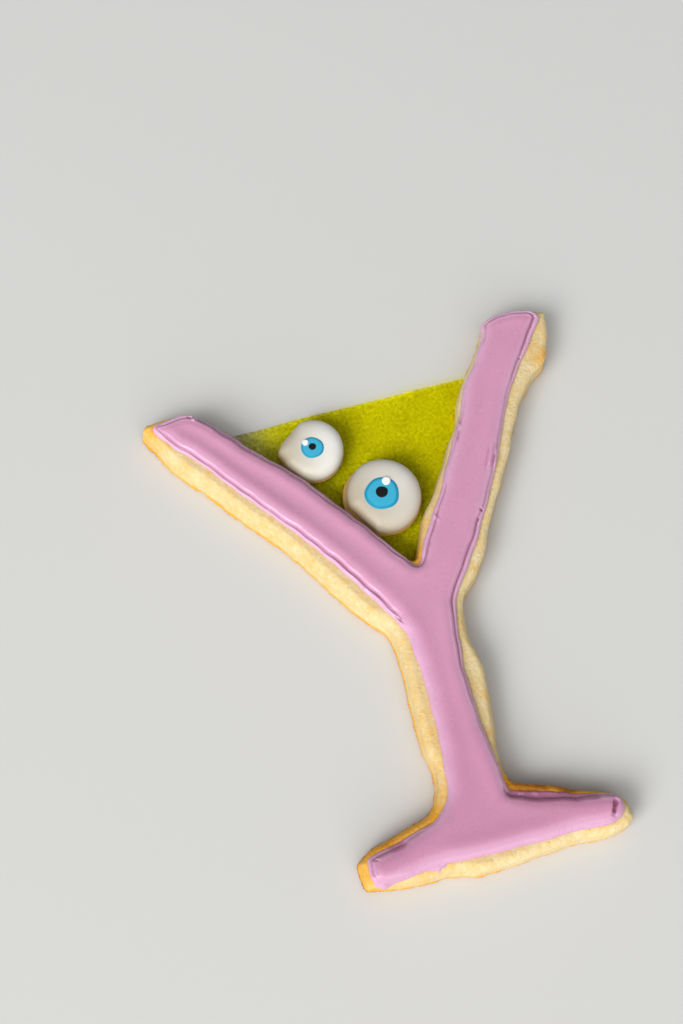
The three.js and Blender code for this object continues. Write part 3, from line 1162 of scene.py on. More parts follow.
@dataclass(frozen=True)
class DotIcing(Finish):
    """Coloured icing dot with a rim of another colour, by the `radius` attribute."""

    tones: tuple[Rgb, Rgb] = ((255, 255, 255), (255, 255, 255))
    rim_reach: Span = (0.8, 0.96)
    unevenness: float = 0.06
    speckle_size: float = 0.5
    contrast: float = 0.3

    def dress(self, blank: Blank) -> tuple[Socket, Socket]:
        """Let the centre's colour go over into the rim's.

        Args:
            blank: the material.

        Returns:
            The colour, and what the roughness follows.
        """
        sheet = blank.sheet
        speckle = blank.mottle(self.speckle_size, self.contrast)
        uneven = sheet.math("MULTIPLY", speckle, self.unevenness)
        reach = sheet.math("ADD", blank.attribute("radius"), uneven)
        return blank.blend(sheet.spread(reach, *self.rim_reach), self.tones), speckle


DOT_SKIN = Skin(0.3, 0.1, 0.01, (0.25, 0.38))
BAKED_DOUGH = BakedDough("baked_dough_look", "baked_dough", Skin(
    0.9, 0.3, 0.22, (0.72, 0.9), specular=0.3, glow=0.22, glow_radius=(1.0, 0.6, 0.3), glow_reach=1.8,
))
MAUVE_ICING = MauveIcing("mauve_icing_look", "mauve_icing", Skin(
    0.3, 0.1, 0.012, (0.24, 0.31), specular=0.6, glow=0.22, glow_radius=(1.0, 0.5, 0.8), glow_reach=0.8,
))
LIME_CANDY = LimeCandy("lime_candy_look", "lime_candy", Skin(
    1.2, 0.4, 0.05, (0.08, 0.2), specular=0.3,
))
EYE_ICING = EyeIcing("white_icing_look", "white_icing", Skin(
    0.25, 0.1, 0.008, (0.42, 0.5), glow=0.2, glow_radius=(1.0, 0.8, 0.6), glow_reach=1.0,
))
IRIS_ICING = DotIcing("blue_icing_look", "blue_icing", Skin(0.3, 0.1, 0.01, (0.3, 0.43)),
                      ((58, 172, 206), (0, 142, 180)))
PUPIL_ICING = DotIcing("black_icing_look", "black_icing", DOT_SKIN, ((10, 10, 14), (14, 14, 20)))
GLINT_ICING = DotIcing("glint_icing_look", "glint_icing", DOT_SKIN,
                       ((240, 240, 240), (232, 230, 230)))


def joined(piece: bpy.types.Object, finish: Finish, *nodes: str) -> bpy.types.Object:
    """Dress a piece and make it ride on the cookie in the place of its solids.

    Args:
        piece: the mesh object.
        finish: its finish.
        nodes: the solids it stands for.

    Returns:
        The same object.
    """
    piece.data.materials.append(finish.made())
    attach(piece, BODY)
    if nodes:
        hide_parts(*nodes)
    LOG.info("%s: %d faces", piece.name, len(piece.data.polygons))
    return piece


# ------------ cookie


# x, y, width of the sloped top edge, its drop, and how brown the crust is
CRUST_NOTES = (
    (-52.5, 125.0, 1.6, 1.4, 0.30), (-47.8, 113.0, 2.0, 1.5, 0.10), (-40.9, 104.4, 2.0, 1.5, 0.09),
    (-29.7, 89.1, 2.0, 1.5, 0.10), (-19.5, 72.5, 2.0, 1.5, 0.09), (-10.0, 59.0, 2.0, 1.5, 0.08),
    (-9.5, 45.0, 1.8, 1.4, 0.10), (-10.2, 30.0, 1.8, 1.4, 0.12), (-10.3, 20.0, 1.5, 1.2, 0.20),
    (-14.0, 16.0, 1.2, 1.2, 0.50), (-21.2, 14.4, 1.2, 1.2, 0.55), (-28.0, 12.9, 1.2, 1.2, 0.55),
    (-31.7, 8.0, 1.5, 1.3, 0.45), (-31.0, 4.0, 1.5, 1.3, 0.32), (-24.0, 2.7, 1.8, 1.4, 0.15),
    (-12.0, 2.0, 1.8, 1.4, 0.08), (4.0, 0.3, 2.0, 1.5, 0.02), (17.0, 0.7, 2.0, 1.5, 0.03),
    (28.0, 0.6, 1.8, 1.4, 0.05), (30.3, 4.0, 1.5, 1.3, 0.06), (28.4, 9.2, 1.0, 1.0, 0.35),
    (23.0, 11.4, 1.0, 1.0, 0.50), (17.0, 14.0, 1.3, 1.2, 0.75), (11.0, 16.6, 1.3, 1.2, 0.80),
    (7.0, 18.0, 1.2, 1.2, 0.65), (5.8, 21.0, 1.0, 1.0, 0.30), (6.0, 24.4, 1.0, 1.0, 0.10),
    (7.6, 31.5, 1.5, 1.3, 0.08), (9.2, 45.4, 1.2, 0.7, 0.04), (8.6, 54.0, 1.5, 1.3, 0.08),
    (10.6, 62.1, 1.2, 0.7, 0.04), (18.9, 71.1, 1.2, 0.7, 0.03), (24.4, 81.4, 1.2, 0.7, 0.03),
    (31.8, 92.6, 1.2, 0.7, 0.03), (39.5, 106.3, 1.2, 0.7, 0.03), (44.7, 112.0, 1.2, 0.7, 0.03),
    (49.0, 114.8, 1.2, 0.7, 0.24), (52.0, 121.0, 1.2, 0.7, 0.04), (53.5, 128.0, 1.2, 0.7, 0.06),
    (50.6, 130.0, 1.0, 1.0, 0.10), (43.0, 131.1, 0.7, 0.7, 0.10), (36.5, 130.8, 0.7, 0.7, 0.10),
    (32.0, 123.3, 1.0, 0.9, 0.05), (26.4, 116.0, 1.0, 0.9, 0.05), (21.5, 105.2, 1.0, 0.9, 0.05),
    (14.1, 94.3, 1.1, 1.0, 0.08), (8.0, 86.5, 1.2, 1.0, 0.10), (4.3, 80.0, 1.0, 0.9, 0.20),
    (1.2, 73.8, 0.6, 0.6, 0.40), (-5.2, 83.0, 0.6, 0.6, 0.15), (-17.8, 101.2, 0.6, 0.6, 0.15),
    (-28.0, 112.4, 0.6, 0.6, 0.15), (-37.6, 123.8, 0.6, 0.6, 0.15), (-46.3, 126.5, 0.7, 0.7, 0.20),
)


@dataclass
class CookieBody:
    """Baked cookie with a rough foot, a leaning wall and a sloped top edge."""

    thickness: float = 7.0
    lean: float = 0.9
    upright: float = 0.8
    upright_towards: float = -30.0
    upright_inset: float = 0.4
    upright_facing: Span = (0.2, 0.75)
    wander: float = 0.12
    step: float = 0.42
    wall_start: float = 0.09
    wall_rings: int = 11
    crumb: float = 0.12
    crumb_size: float = 1.6
    ragged: float = 0.36
    ragged_size: float = 2.0
    ragged_shift: float = 50.0
    ragged_bias: float = 0.2
    ragged_heights: Span = (0.3, 2.0)
    foot: tuple[Span, ...] = ((0.40, 0.0), (0.18, 0.12), (0.06, 0.3), (0.0, 0.55))
    foot_bake: float = 0.52
    foot_bake_heights: Span = (0.15, 2.5)
    bake_lump_size: float = 4.0
    bake_change: float = 0.35
    loose_everywhere: float = 0.04
    loose_heights: Span = (0.6, 1.6)
    bare_height: float = 0.02
    top_insets: tuple[float, ...] = (
        0.1, 0.22, 0.36, 0.52, 0.7, 0.9, 1.15, 1.4, 1.7, 2.0, 2.4, 2.9, 3.5, 4.2,
    )
    top_grid: float = 1.6
    top_crumb: float = 0.06
    top_crumb_size: float = 1.3
    top_crumb_rise: float = 0.3
    top_crumb_depths: Span = (3.0, 5.0)
    under_inset: float = 1.0
    under_grid: float = 3.0
    crust: NoteMap = field(default_factory=lambda: NoteMap(CRUST_NOTES))
    grain: GrainField = field(default_factory=lambda: GrainField(11))

    def __post_init__(self) -> None:
        """Trace the outline once and measure from its top edge."""
        ring = CutOutline(COOKIE_CORNERS).trace(self.step)
        normal, towards = outward_normals(ring), math.radians(self.upright_towards)
        along = normal @ np.array([math.cos(towards), math.sin(towards)])
        facing = smoothstep(*self.upright_facing, along)
        out = self.wander * hand_wander(ring) - self.upright_inset * facing
        self.ring = ring + normal * out[:, None]
        self.leans = self.lean * (1.0 - self.upright * facing)
        self.rim = self.ring - outward_normals(self.ring) * self.leans[:, None]
        self._ruler = EdgeRuler(self.rim)

    def surface(self, points: Array) -> Array:
        """Height of the cookie's top.

        Args:
            points: rows of x and y in millimetres.

        Returns:
            Heights in millimetres.
        """
        reach, drop, _ = self.crust.read(points)
        share = np.clip(1.0 - self._ruler.depth(points) / reach, 0.0, 1.0)
        return self.thickness - drop * share**2

    def _bake(self, places: Array) -> Array:
        """How brown the crust is: most at the foot of the wall and where it was thin.

        Args:
            places: rows of x, y, z in millimetres.

        Returns:
            Numbers from 0 to 1.
        """
        lumps = self.grain.layered(places, self.bake_lump_size)
        low = 1.0 - smoothstep(*self.foot_bake_heights, places[:, 2] + lumps)
        bake = self.crust.read(places)[2] * (1.0 + self.bake_change * lumps)
        return np.clip(bake + self.foot_bake * low, 0.0, 1.0)

    def _values(self, places: Array) -> dict[str, Array]:
        """The attributes kept with the cookie's points."""
        low = 1.0 - smoothstep(*self.loose_heights, places[:, 2])
        loose = self.loose_everywhere + low * (places[:, 2] > self.bare_height)
        return {"bake": self._bake(places), "crumbly": loose}

    def build(self, placement: Placement) -> bpy.types.Object:
        """Make the cookie's mesh.

        Args:
            placement: where the glass's frame lies.

        Returns:
            The finished piece.
        """
        normal = outward_normals(self.ring)
        wall_top = self.surface(self.rim)
        count = len(self.ring)
        levels = [(np.full(count, inset), np.full(count, height)) for inset, height in self.foot]
        start = self.foot[-1][1]
        for share in np.linspace(self.wall_start, 1.0, self.wall_rings):
            levels.append((self.leans * share, start + (wall_top - start) * share))
        shell = Shell()
        rings = []
        for inset, height in levels:
            places = with_height(self.ring - normal * inset[:, None], height)
            rough = self.crumb * self.grain.layered(places, self.crumb_size)
            low = 1.0 - smoothstep(*self.ragged_heights, height)
            torn = self.grain.layered(places + self.ragged_shift, self.ragged_size) - self.ragged_bias
            rough += self.ragged * low * torn
            places[:, :2] += normal * rough[:, None]
            rings.append(shell.points(places, **self._values(places)))
        shell.walls(rings)
        self._close_top(shell, rings[-1])
        self._close_underside(shell, rings[0], self.ring - normal * self.foot[0][0])
        return joined(shell.made("baked_cookie", placement), BAKED_DOUGH, "cookie")

    def _close_top(self, shell: Shell, rim: Array) -> None:
        """Fill the top inside the wall's last ring.

        Args:
            shell: the mesh so far.
            rim: indices of the wall's last ring.
        """
        filling = Filling.inside(self.rim, self.top_insets, self.top_grid)
        fade = 1.0 - smoothstep(*self.top_crumb_depths, filling.depth)
        crumb = self.grain.layered(filling.points, self.top_crumb_size) * fade
        rise = np.minimum(1.0, filling.depth / self.top_crumb_rise)
        height = self.surface(filling.points) + self.top_crumb * crumb * rise
        shell.cap(filling, rim, height, **self._values(with_height(filling.points, height)))

    def _close_underside(self, shell: Shell, rim: Array, ring: Array) -> None:
        """Fill the flat underside.

        Args:
            shell: the mesh so far.
            rim: indices of the wall's first ring.
            ring: that ring before its crumb was moved.
        """
        filling = Filling.inside(ring, (self.under_inset,), self.under_grid)
        values = self._values(with_height(filling.points, 0.0))
        shell.cap(filling, rim, 0.0, flipped=True, **values)


# ------------ icing


# x, y, width of the piped border, how open the groove inside it is, width of the flood's shoulder,
# height of the border as a share of its usual height
BORDER_NOTES = (
    # left arm, outer side
    (-50.2, 122.5, 1.2, 0.5, 2.2, 1.0), (-46.9, 118.1, 0.8, 0.9, 2.4, 1.0),
    (-40.2, 110.6, 0.75, 0.9, 3.5, 1.0), (-34.9, 102.5, 0.85, 0.9, 3.5, 1.0),
    (-28.5, 94.2, 0.7, 0.8, 3.5, 1.0), (-21.7, 84.8, 0.95, 0.9, 3.5, 1.0),
    (-15.7, 75.2, 1.15, 1.0, 3.5, 1.0), (-10.0, 65.0, 1.25, 1.0, 3.5, 1.0),
    (-7.8, 61.0, 1.1, 0.9, 3.5, 1.0), (-6.2, 57.9, 0.7, 0.1, 3.3, 1.0),
    # stem, left side
    (-5.4, 48.0, 0.6, 0.0, 4.4, 1.0), (-5.7, 38.0, 0.6, 0.0, 4.4, 1.0),
    (-6.9, 24.8, 0.6, 0.0, 4.4, 1.0), (-8.6, 17.2, 0.6, 0.0, 4.4, 1.0),
    # foot
    (-12.7, 13.8, 0.6, 0.05, 2.6, 1.0), (-18.7, 12.3, 0.8, 0.6, 3.0, 0.5),
    (-22.0, 11.5, 1.1, 1.0, 2.6, 0.42), (-26.0, 10.6, 1.1, 1.0, 2.2, 0.5),
    (-29.6, 7.0, 0.85, 0.7, 2.2, 1.0), (-29.0, 4.5, 0.85, 0.35, 2.6, 1.0),
    (-24.0, 3.8, 0.6, 0.25, 3.1, 1.0), (-16.0, 3.9, 0.6, 0.1, 4.4, 1.0),
    (-5.9, 3.8, 0.6, 0.0, 4.4, 1.0), (2.4, 3.4, 0.6, 0.0, 4.4, 1.0),
    (15.3, 3.2, 0.6, 0.1, 4.4, 1.0), (24.0, 2.8, 0.8, 0.35, 3.1, 0.9),
    (28.0, 4.4, 0.8, 0.15, 3.0, 1.0), (28.0, 7.2, 0.8, 0.25, 2.2, 1.0),
    (26.0, 8.4, 0.7, 1.0, 2.4, 0.55), (22.0, 9.8, 0.9, 1.0, 2.4, 0.42),
    (17.8, 11.4, 1.4, 1.0, 2.4, 0.34), (13.5, 12.9, 1.9, 1.0, 2.4, 0.3),
    (10.0, 14.1, 1.9, 1.0, 2.4, 0.3), (6.8, 15.3, 1.5, 1.0, 2.4, 0.36),
    # stem, right side
    (4.6, 19.0, 0.5, 0.15, 2.0, 1.0), (4.2, 26.0, 0.6, 0.15, 2.0, 1.0),
    (3.9, 33.0, 0.7, 0.3, 2.0, 1.0), (4.1, 41.0, 0.7, 0.6, 2.0, 1.0),
    (5.0, 50.0, 0.85, 0.9, 2.0, 1.0), (6.4, 57.3, 0.95, 0.9, 2.0, 1.0),
    (7.9, 62.0, 1.1, 1.0, 2.4, 1.0),
    # right arm, outer side, and its tip
    (14.9, 70.9, 1.3, 1.0, 2.4, 1.0), (18.0, 75.8, 1.15, 1.0, 2.4, 1.0),
    (21.4, 80.7, 0.8, 0.6, 2.4, 1.0), (25.0, 86.7, 0.7, 0.4, 2.4, 1.0),
    (28.5, 92.7, 0.8, 0.5, 2.4, 1.0), (33.3, 102.5, 0.6, 0.3, 3.1, 1.0),
    (37.1, 109.1, 0.7, 0.35, 3.1, 1.0), (40.4, 113.4, 0.9, 0.8, 2.2, 1.0),
    (47.3, 121.8, 1.3, 1.0, 1.9, 1.1), (50.8, 126.4, 1.7, 1.0, 1.6, 1.15),
    (48.0, 129.3, 1.3, 1.0, 1.6, 1.1), (42.6, 130.1, 1.1, 1.0, 1.6, 1.0),
    (37.5, 129.3, 1.1, 0.9, 1.6, 1.1),
    # right arm, inner side
    (35.0, 125.4, 1.0, 0.45, 2.0, 1.1), (32.4, 120.6, 0.6, 0.05, 3.1, 1.0),
    (28.4, 115.8, 0.6, 0.0, 3.1, 1.0), (25.6, 111.9, 0.7, 0.1, 3.1, 1.0),
    (23.2, 106.2, 0.8, 0.3, 2.4, 1.0), (20.0, 101.2, 0.8, 0.45, 2.4, 1.0),
    (14.9, 92.7, 0.7, 0.1, 3.1, 1.0), (11.2, 86.1, 1.0, 0.6, 2.4, 1.0),
    (7.7, 81.7, 1.2, 0.85, 2.4, 1.0), (4.2, 76.1, 1.2, 0.9, 2.4, 0.8),
    (1.6, 71.3, 0.8, 0.85, 2.4, 0.52),
    # left arm, inner side
    (-5.6, 82.7, 1.15, 0.7, 3.1, 0.52), (-11.1, 90.7, 1.25, 0.9, 3.3, 0.52),
    (-18.2, 100.9, 1.25, 0.9, 3.3, 0.52), (-22.7, 106.1, 1.15, 0.9, 3.3, 0.52),
    (-28.4, 112.1, 1.25, 1.0, 3.5, 0.52), (-31.7, 116.5, 1.35, 1.0, 2.4, 0.52),
    (-37.0, 122.4, 1.25, 1.0, 2.0, 0.52), (-42.0, 124.9, 1.3, 1.0, 1.8, 1.0),
    (-47.0, 124.6, 1.3, 0.9, 1.9, 1.0),
)

# x, y, how far the flood sinks along the middle of the icing
DIP_NOTES = (
    (-45.0, 119.0, 0.62), (-36.0, 109.0, 0.84), (-26.0, 98.0, 0.86), (-16.0, 84.0, 0.8),
    (-9.0, 75.0, 0.68), (-2.0, 66.0, 0.45), (0.0, 52.0, 0.34), (-1.0, 35.0, 0.34),
    (-2.0, 14.0, 0.42), (-20.0, 8.0, 0.25), (15.0, 8.0, 0.28), (11.0, 77.0, 0.3),
    (22.0, 92.0, 0.36), (30.0, 106.0, 0.4), (42.0, 122.0, 0.35),
)


@dataclass(frozen=True)
class Stroke:
    """Small fold, crease or hole in the icing along a line; a positive lift raises it."""

    start: tuple[float, float]
    end: tuple[float, float]
    width: float
    lift: float
    end_lift: float = 0.25
    end_share: float = 0.6
    flat_share: float = 0.1
    detail_step: float = 0.16
    detail_columns: int = 7
    detail_slack: float = 0.01

    def move(self, points: Array) -> Array:
        """How far the stroke moves each place up.

        Args:
            points: rows of x and y in millimetres.

        Returns:
            Heights in millimetres.
        """
        share, away = self.off(points)
        ends = 1.0 - np.abs(2.0 * share - 1.0)
        long = math.dist(self.start, self.end) > self.width
        middle = smoothstep(0.0, self.end_share, ends)
        fade = self.end_lift + (1.0 - self.end_lift) * middle if long else 1.0
        return self.lift * fade * (1.0 - smoothstep(self.flat_share, 1.0, 2.0 * away / self.width))

    def off(self, points: Array) -> tuple[Array, Array]:
        """Share of the way along the stroke, and distance from its line.

        Args:
            points: rows of x and y in millimetres.

        Returns:
            Shares from 0 to 1 and distances in millimetres.
        """
        start, along = np.array(self.start), np.subtract(self.end, self.start)
        length = float(np.dot(along, along)) + TINY
        share = np.clip((points - start) @ along / length, 0.0, 1.0)
        return share, np.linalg.norm(points - start - share[:, None] * along, axis=1)

    def detail(self) -> Array:
        """Extra points that carry the stroke's shape.

        Returns:
            Rows of x and y in millimetres.
        """
        start, end = np.array(self.start), np.array(self.end)
        along = end - start
        length = float(np.linalg.norm(along))
        axis = along / length if length > 0.0 else np.array([1.0, 0.0])
        side = np.array([-axis[1], axis[0]])
        reach = self.width / 2.0
        rows = np.arange(-reach, length + reach + self.detail_slack, self.detail_step)
        columns = np.linspace(-reach, reach, self.detail_columns)
        return np.array([start + axis * row + side * column for row in rows for column in columns])


STROKES = (
    # the flood bridges the groove at the left tip
    Stroke((-40.0, 123.7), (-39.6, 122.7), 1.5, 0.55),
    Stroke((-40.7, 123.6), (-40.9, 123.9), 0.6, -0.45),
    # threads of piping over the end of the left arm's border
    Stroke((-11.9, 69.2), (-8.4, 62.6), 0.5, -0.3), Stroke((-9.9, 66.9), (-6.9, 62.0), 0.7, 0.22),
    Stroke((-7.4, 61.4), (-5.7, 58.6), 0.6, -0.35),
    # fold on the right arm's inner side
    Stroke((22.0, 107.4), (21.8, 102.6), 1.3, 0.45), Stroke((23.2, 107.2), (22.4, 102.8), 0.9, -0.45),
    Stroke((22.0, 102.6), (20.2, 99.2), 0.9, -0.6),
    Stroke((9.0, 82.8), (9.6, 80.4), 1.1, 0.25), Stroke((5.6, 75.2), (6.4, 77.0), 0.7, -0.4),
    # raised loop, craters and a pinhole on its outer side
    Stroke((28.2, 95.8), (25.0, 90.2), 1.0, 0.4), Stroke((29.0, 95.4), (26.4, 89.6), 0.9, 0.5),
    Stroke((28.2, 94.2), (26.1, 90.6), 0.7, -0.55), Stroke((27.5, 96.0), (24.4, 90.4), 0.8, -0.3),
    Stroke((20.0, 80.7), (20.1, 80.6), 1.0, -0.9), Stroke((18.8, 78.9), (18.6, 78.4), 0.7, -0.5),
    Stroke((42.0, 116.6), (42.1, 116.6), 0.6, -0.6),
    # hole behind the loop at the foot's right end
    Stroke((26.6, 6.7), (26.5, 6.6), 1.7, -1.8), Stroke((27.0, 7.6), (25.2, 4.2), 1.5, -1.4),
    # lumps on the shelf of the foot
    Stroke((7.1, 14.6), (7.9, 14.5), 1.5, 0.22), Stroke((9.4, 14.1), (11.3, 13.3), 1.6, 0.32),
    Stroke((13.4, 12.6), (14.0, 12.6), 1.0, 0.2), Stroke((15.9, 12.1), (17.8, 11.4), 1.2, 0.3),
    # end of the groove at the foot's left corner
    Stroke((-27.9, 9.4), (-27.2, 9.2), 0.8, -0.4),
)


@dataclass(frozen=True)
class IcingForm:
    """Thickness of the icing at each place, with the border's notes there."""

    height: Array
    width: Array
    opened: Array
    share: Array


@dataclass(frozen=True)
class IcingTints:
    """Where the icing is coloured as piped border, partly painted sheen, and where shade is painted on
    it.
    """

    border_fade: Span = (-0.35, 0.05)
    smear_rise: Span = (0.05, 0.3)
    smear_depths: Span = (0.1, 0.5)
    # paler rim round the icing's edge and over its shoulders, partly painted sheen
    rim: float = 0.85
    sheen_rim_depths: Span = (0.3, 3.0)
    # painted shade along the groove, on the shelf, in pressed strokes and towards the foot's lower edge
    groove_width: float = 0.24
    shelf_shares: Span = (0.4, 0.62)
    shelf_depths: Span = (0.5, 1.5)
    pressed: float = 0.9
    pressed_depths: Span = (0.25, 1.0)
    foot: float = 0.23
    foot_heights: Span = (10.0, 64.0)

    def border(self, form: IcingForm, depth: Array, smear: Array) -> Array:
        """Lilac of the piped border, the smear and a paler rim; the rim over the icing's edge and
        shoulders is partly painted sheen.

        Args:
            form: the icing's form at each place.
            depth: distance in from the icing's edge, without the smear.
            smear: how much deeper each place lies with the smear.

        Returns:
            Shares from 0 to 1.
        """
        piped = form.opened * (1.0 - smoothstep(*self.border_fade, depth - form.width))
        smeared = smoothstep(*self.smear_rise, smear) * (1.0 - smoothstep(*self.smear_depths, depth))
        rim = self.rim * (1.0 - smoothstep(*self.sheen_rim_depths, depth))
        return np.maximum(np.maximum(piped, smeared), rim)

    def groove(self, form: IcingForm, depth: Array, pressed: Array,
               along: Array) -> Array:
        """Painted shade: darker mauve along the groove, on the shelf in the flood's shadow, in pressed
        strokes, and more towards the foot's lower edge.

        Args:
            form: the icing's form at each place.
            depth: distance in from the icing's edge, without the smear.
            pressed: how far strokes push each place down, in millimetres.
            along: distance from the foot's lower edge, along the stem.

        Returns:
            Shares from 0 to 1.
        """
        inward = depth - form.width
        groove = form.opened * np.exp(-((inward / self.groove_width) ** 2))
        shelf = 1.0 - smoothstep(*self.shelf_shares, form.share)
        shelf = shelf * (1.0 - smoothstep(*self.shelf_depths, inward))
        strokes = self.pressed * smoothstep(*self.pressed_depths, pressed)
        foot = self.foot * (1.0 - smoothstep(*self.foot_heights, along))
        return np.maximum.reduce([groove, shelf * form.opened, strokes, foot])


@dataclass(frozen=True)
class Swell:
    """How poured icing rises from its edge to its full height."""

    steepness: float
    roundness: float

    def rise(self, share: Array) -> Array:
        """Height as a share of the full height, at a share of the way in."""
        return (1.0 - (1.0 - share) ** self.steepness) ** self.roundness


@dataclass
class RoyalIcing:
    """Piped border, the groove inside it and the raised flood, lying on the cookie."""

    cookie: CookieBody
    bond: float = 0.3
    height: float = 2.3
    border_height: float = 0.95
    overlap: float = 0.25
    film: float = 0.4
    film_reach: float = 0.45
    wander: float = 0.14
    edge_lumps: float = 0.08
    lump_size: float = 4.0
    step: float = 0.34
    softness: float = 0.95
    soft_spacing: float = 0.3
    soft_depths: Span = (0.25, 1.3)
    width_change: float = 0.12
    width_lump_size: float = 5.0
    crest_change: float = 0.16
    crest_shift: float = 30.0
    crest_base: float = 0.55
    crest_by_width: float = 0.45
    crest_limits: Span = (0.6, 1.1)
    dip_depths: Span = (2.2, 5.2)
    wave: float = 0.08
    wave_size: float = 9.0
    wave_depths: Span = (1.0, 3.0)
    bordered: Swell = Swell(2.5, 0.6)
    plain: Swell = Swell(2.6, 0.55)
    plain_extra: float = 0.6
    pressed_least: float = 0.15
    pressed_whole: float = 1.0
    insets: tuple[float, ...] = (
        0.03, 0.08, 0.16, 0.26, 0.38, 0.5, 0.62, 0.75, 0.88, 1.0, 1.12, 1.24, 1.36, 1.5, 1.65,
        1.85, 2.1, 2.4, 2.75, 3.15, 3.6, 4.1, 4.7, 5.3,
    )
    grid: float = 0.8
    under_insets: Span = (0.4, 1.0)
    under_grid: float = 2.0
    border: NoteMap = field(default_factory=lambda: NoteMap(BORDER_NOTES))
    dips: NoteMap = field(default_factory=lambda: NoteMap(DIP_NOTES, 9.0))
    strokes: tuple[Stroke, ...] = STROKES
    tints: IcingTints = IcingTints()
    grain: GrainField = field(default_factory=lambda: GrainField(23))

    def _edge(self, corners: tuple[Corner, ...]) -> Array:
        """An edge of the icing on the cookie, evenly spaced and a little uneven.

        Args:
            corners: the edge's corners.

        Returns:
            The closed ring.
        """
        ring = CutOutline(corners).trace(self.step)
        lumps = self.edge_lumps * self.grain.layered(ring, self.lump_size)
        wobble = self.wander * hand_wander(ring) + lumps
        return ring + outward_normals(ring) * wobble[:, None]

    def _form(self, points: Array, depth: Array) -> IcingForm:
        """Thickness of border and flood as they come from the bag.

        Args:
            points: rows of x and y in millimetres.
            depth: distance in from the icing's edge, without the smear.

        Returns:
            The thickness, and the notes it follows.
        """
        width, opened, shoulder, share = self.border.read(points)
        width = width * (1.0 + self.width_change * self.grain.sample(points, self.width_lump_size))
        lumps = self.grain.layered(points + self.crest_shift, self.lump_size)
        crest = self.border_height * share * (1.0 + self.crest_change * lumps)
        crest = crest * np.clip(self.crest_base + self.crest_by_width * width, *self.crest_limits)
        across = np.clip(2.0 * depth / width - 1.0, -1.0, 1.0)
        bead = crest * np.sqrt(1.0 - across**2)
        full = self.height - self.dips.read(points)[0] * smoothstep(*self.dip_depths, depth)
        wave = self.wave * self.grain.sample(points, self.wave_size)
        full = full + wave * smoothstep(*self.wave_depths, depth)
        way_in = np.clip((depth - width + self.overlap) / shoulder, 0.0, 1.0)
        flood = full * self.bordered.rise(way_in)
        whole = full * self.plain.rise(np.clip(depth / (shoulder + self.plain_extra), 0.0, 1.0))
        height = whole + (np.maximum(bead, flood) - whole) * opened
        return IcingForm(height, width, opened, share)

    def _rough(self, ruler: EdgeRuler, points: Array) -> tuple[Array, Array]:
        """Thickness on a plain grid, to be softened.

        Args:
            ruler: measures from the icing's edge.
            points: the grid's points.

        Returns:
            Thicknesses, and 1 inside the icing or 0 outside it.
        """
        depth = ruler.depth(points)
        inside = depth > 0.0
        height = np.zeros(len(points))
        height[inside] = self._form(points[inside], depth[inside]).height
        return height, inside.astype(float)

    def _top(self, filling: Filling) -> tuple[Array, Array, Array]:
        """Thickness of the icing over the cookie, where its border shows and where shade is painted on
        it.

        Args:
            filling: the icing's top.

        Returns:
            Thicknesses in millimetres, a border mask that is partly painted sheen, and a painted shade
            mask, each from 0 to 1.
        """
        points = filling.points
        edge = self._edge(ICING_CORNERS)
        ruler = EdgeRuler(edge)
        depth = np.maximum(ruler.depth(points), 0.0)
        form = self._form(points, depth)
        soft = HeightSheet.softened(edge, self.soft_spacing, self.softness,
                                    lambda grid: self._rough(ruler, grid))
        freedom = smoothstep(*self.soft_depths, depth - form.width * form.opened)
        height = form.height + (soft.read(points) - form.height) * freedom
        pressed = np.zeros(len(points))
        for stroke in self.strokes:
            move = stroke.move(points)
            pressed = np.maximum(pressed, -move)
            least = self.pressed_least * np.minimum(height, self.pressed_whole)
            height = np.maximum(height + move, least)
        height = np.maximum(height, self.film * smoothstep(0.0, self.film_reach, filling.depth))
        border = self.tints.border(form, depth, filling.depth - depth)
        groove = self.tints.groove(form, depth, pressed, points[:, 1])
        return height, border, groove

    def _in_stroke(self, points: Array) -> Array:
        """Which points lie where a stroke brings its own."""
        return np.any([stroke.off(points)[1] < 0.5 * stroke.width for stroke in self.strokes], axis=0)

    def build(self, placement: Placement) -> bpy.types.Object:
        """Make the icing's mesh.

        Args:
            placement: where the glass's frame lies.

        Returns:
            The finished piece.
        """
        smeared = ICING_CORNERS[:SMEAR_PLACE] + SMEAR_CORNERS + ICING_CORNERS[SMEAR_PLACE:]
        ring = self._edge(smeared)
        extra = np.vstack([stroke.detail() for stroke in self.strokes])
        filling = Filling.inside(ring, self.insets, self.grid, extra, self._in_stroke)
        height, border, groove = self._top(filling)
        places = with_height(filling.points, self.cookie.surface(filling.points) + height)
        shell = Shell()
        # the top's points carry the border mask, partly painted sheen, and the painted shade mask
        top = shell.points(places, border=border, groove=groove)
        low_places = with_height(ring, self.cookie.surface(ring) - self.bond)
        low = shell.points(low_places, border=np.ones(len(ring)))
        shell.triangles(top[filling.faces])
        shell.wall(low, top[filling.rim])
        under = Filling.inside(ring, self.under_insets, self.under_grid)
        shell.cap(under, low, self.cookie.surface(under.points) - self.bond, flipped=True)
        return joined(shell.made("royal_icing", placement), MAUVE_ICING, "icing")


# ------------ candy drink


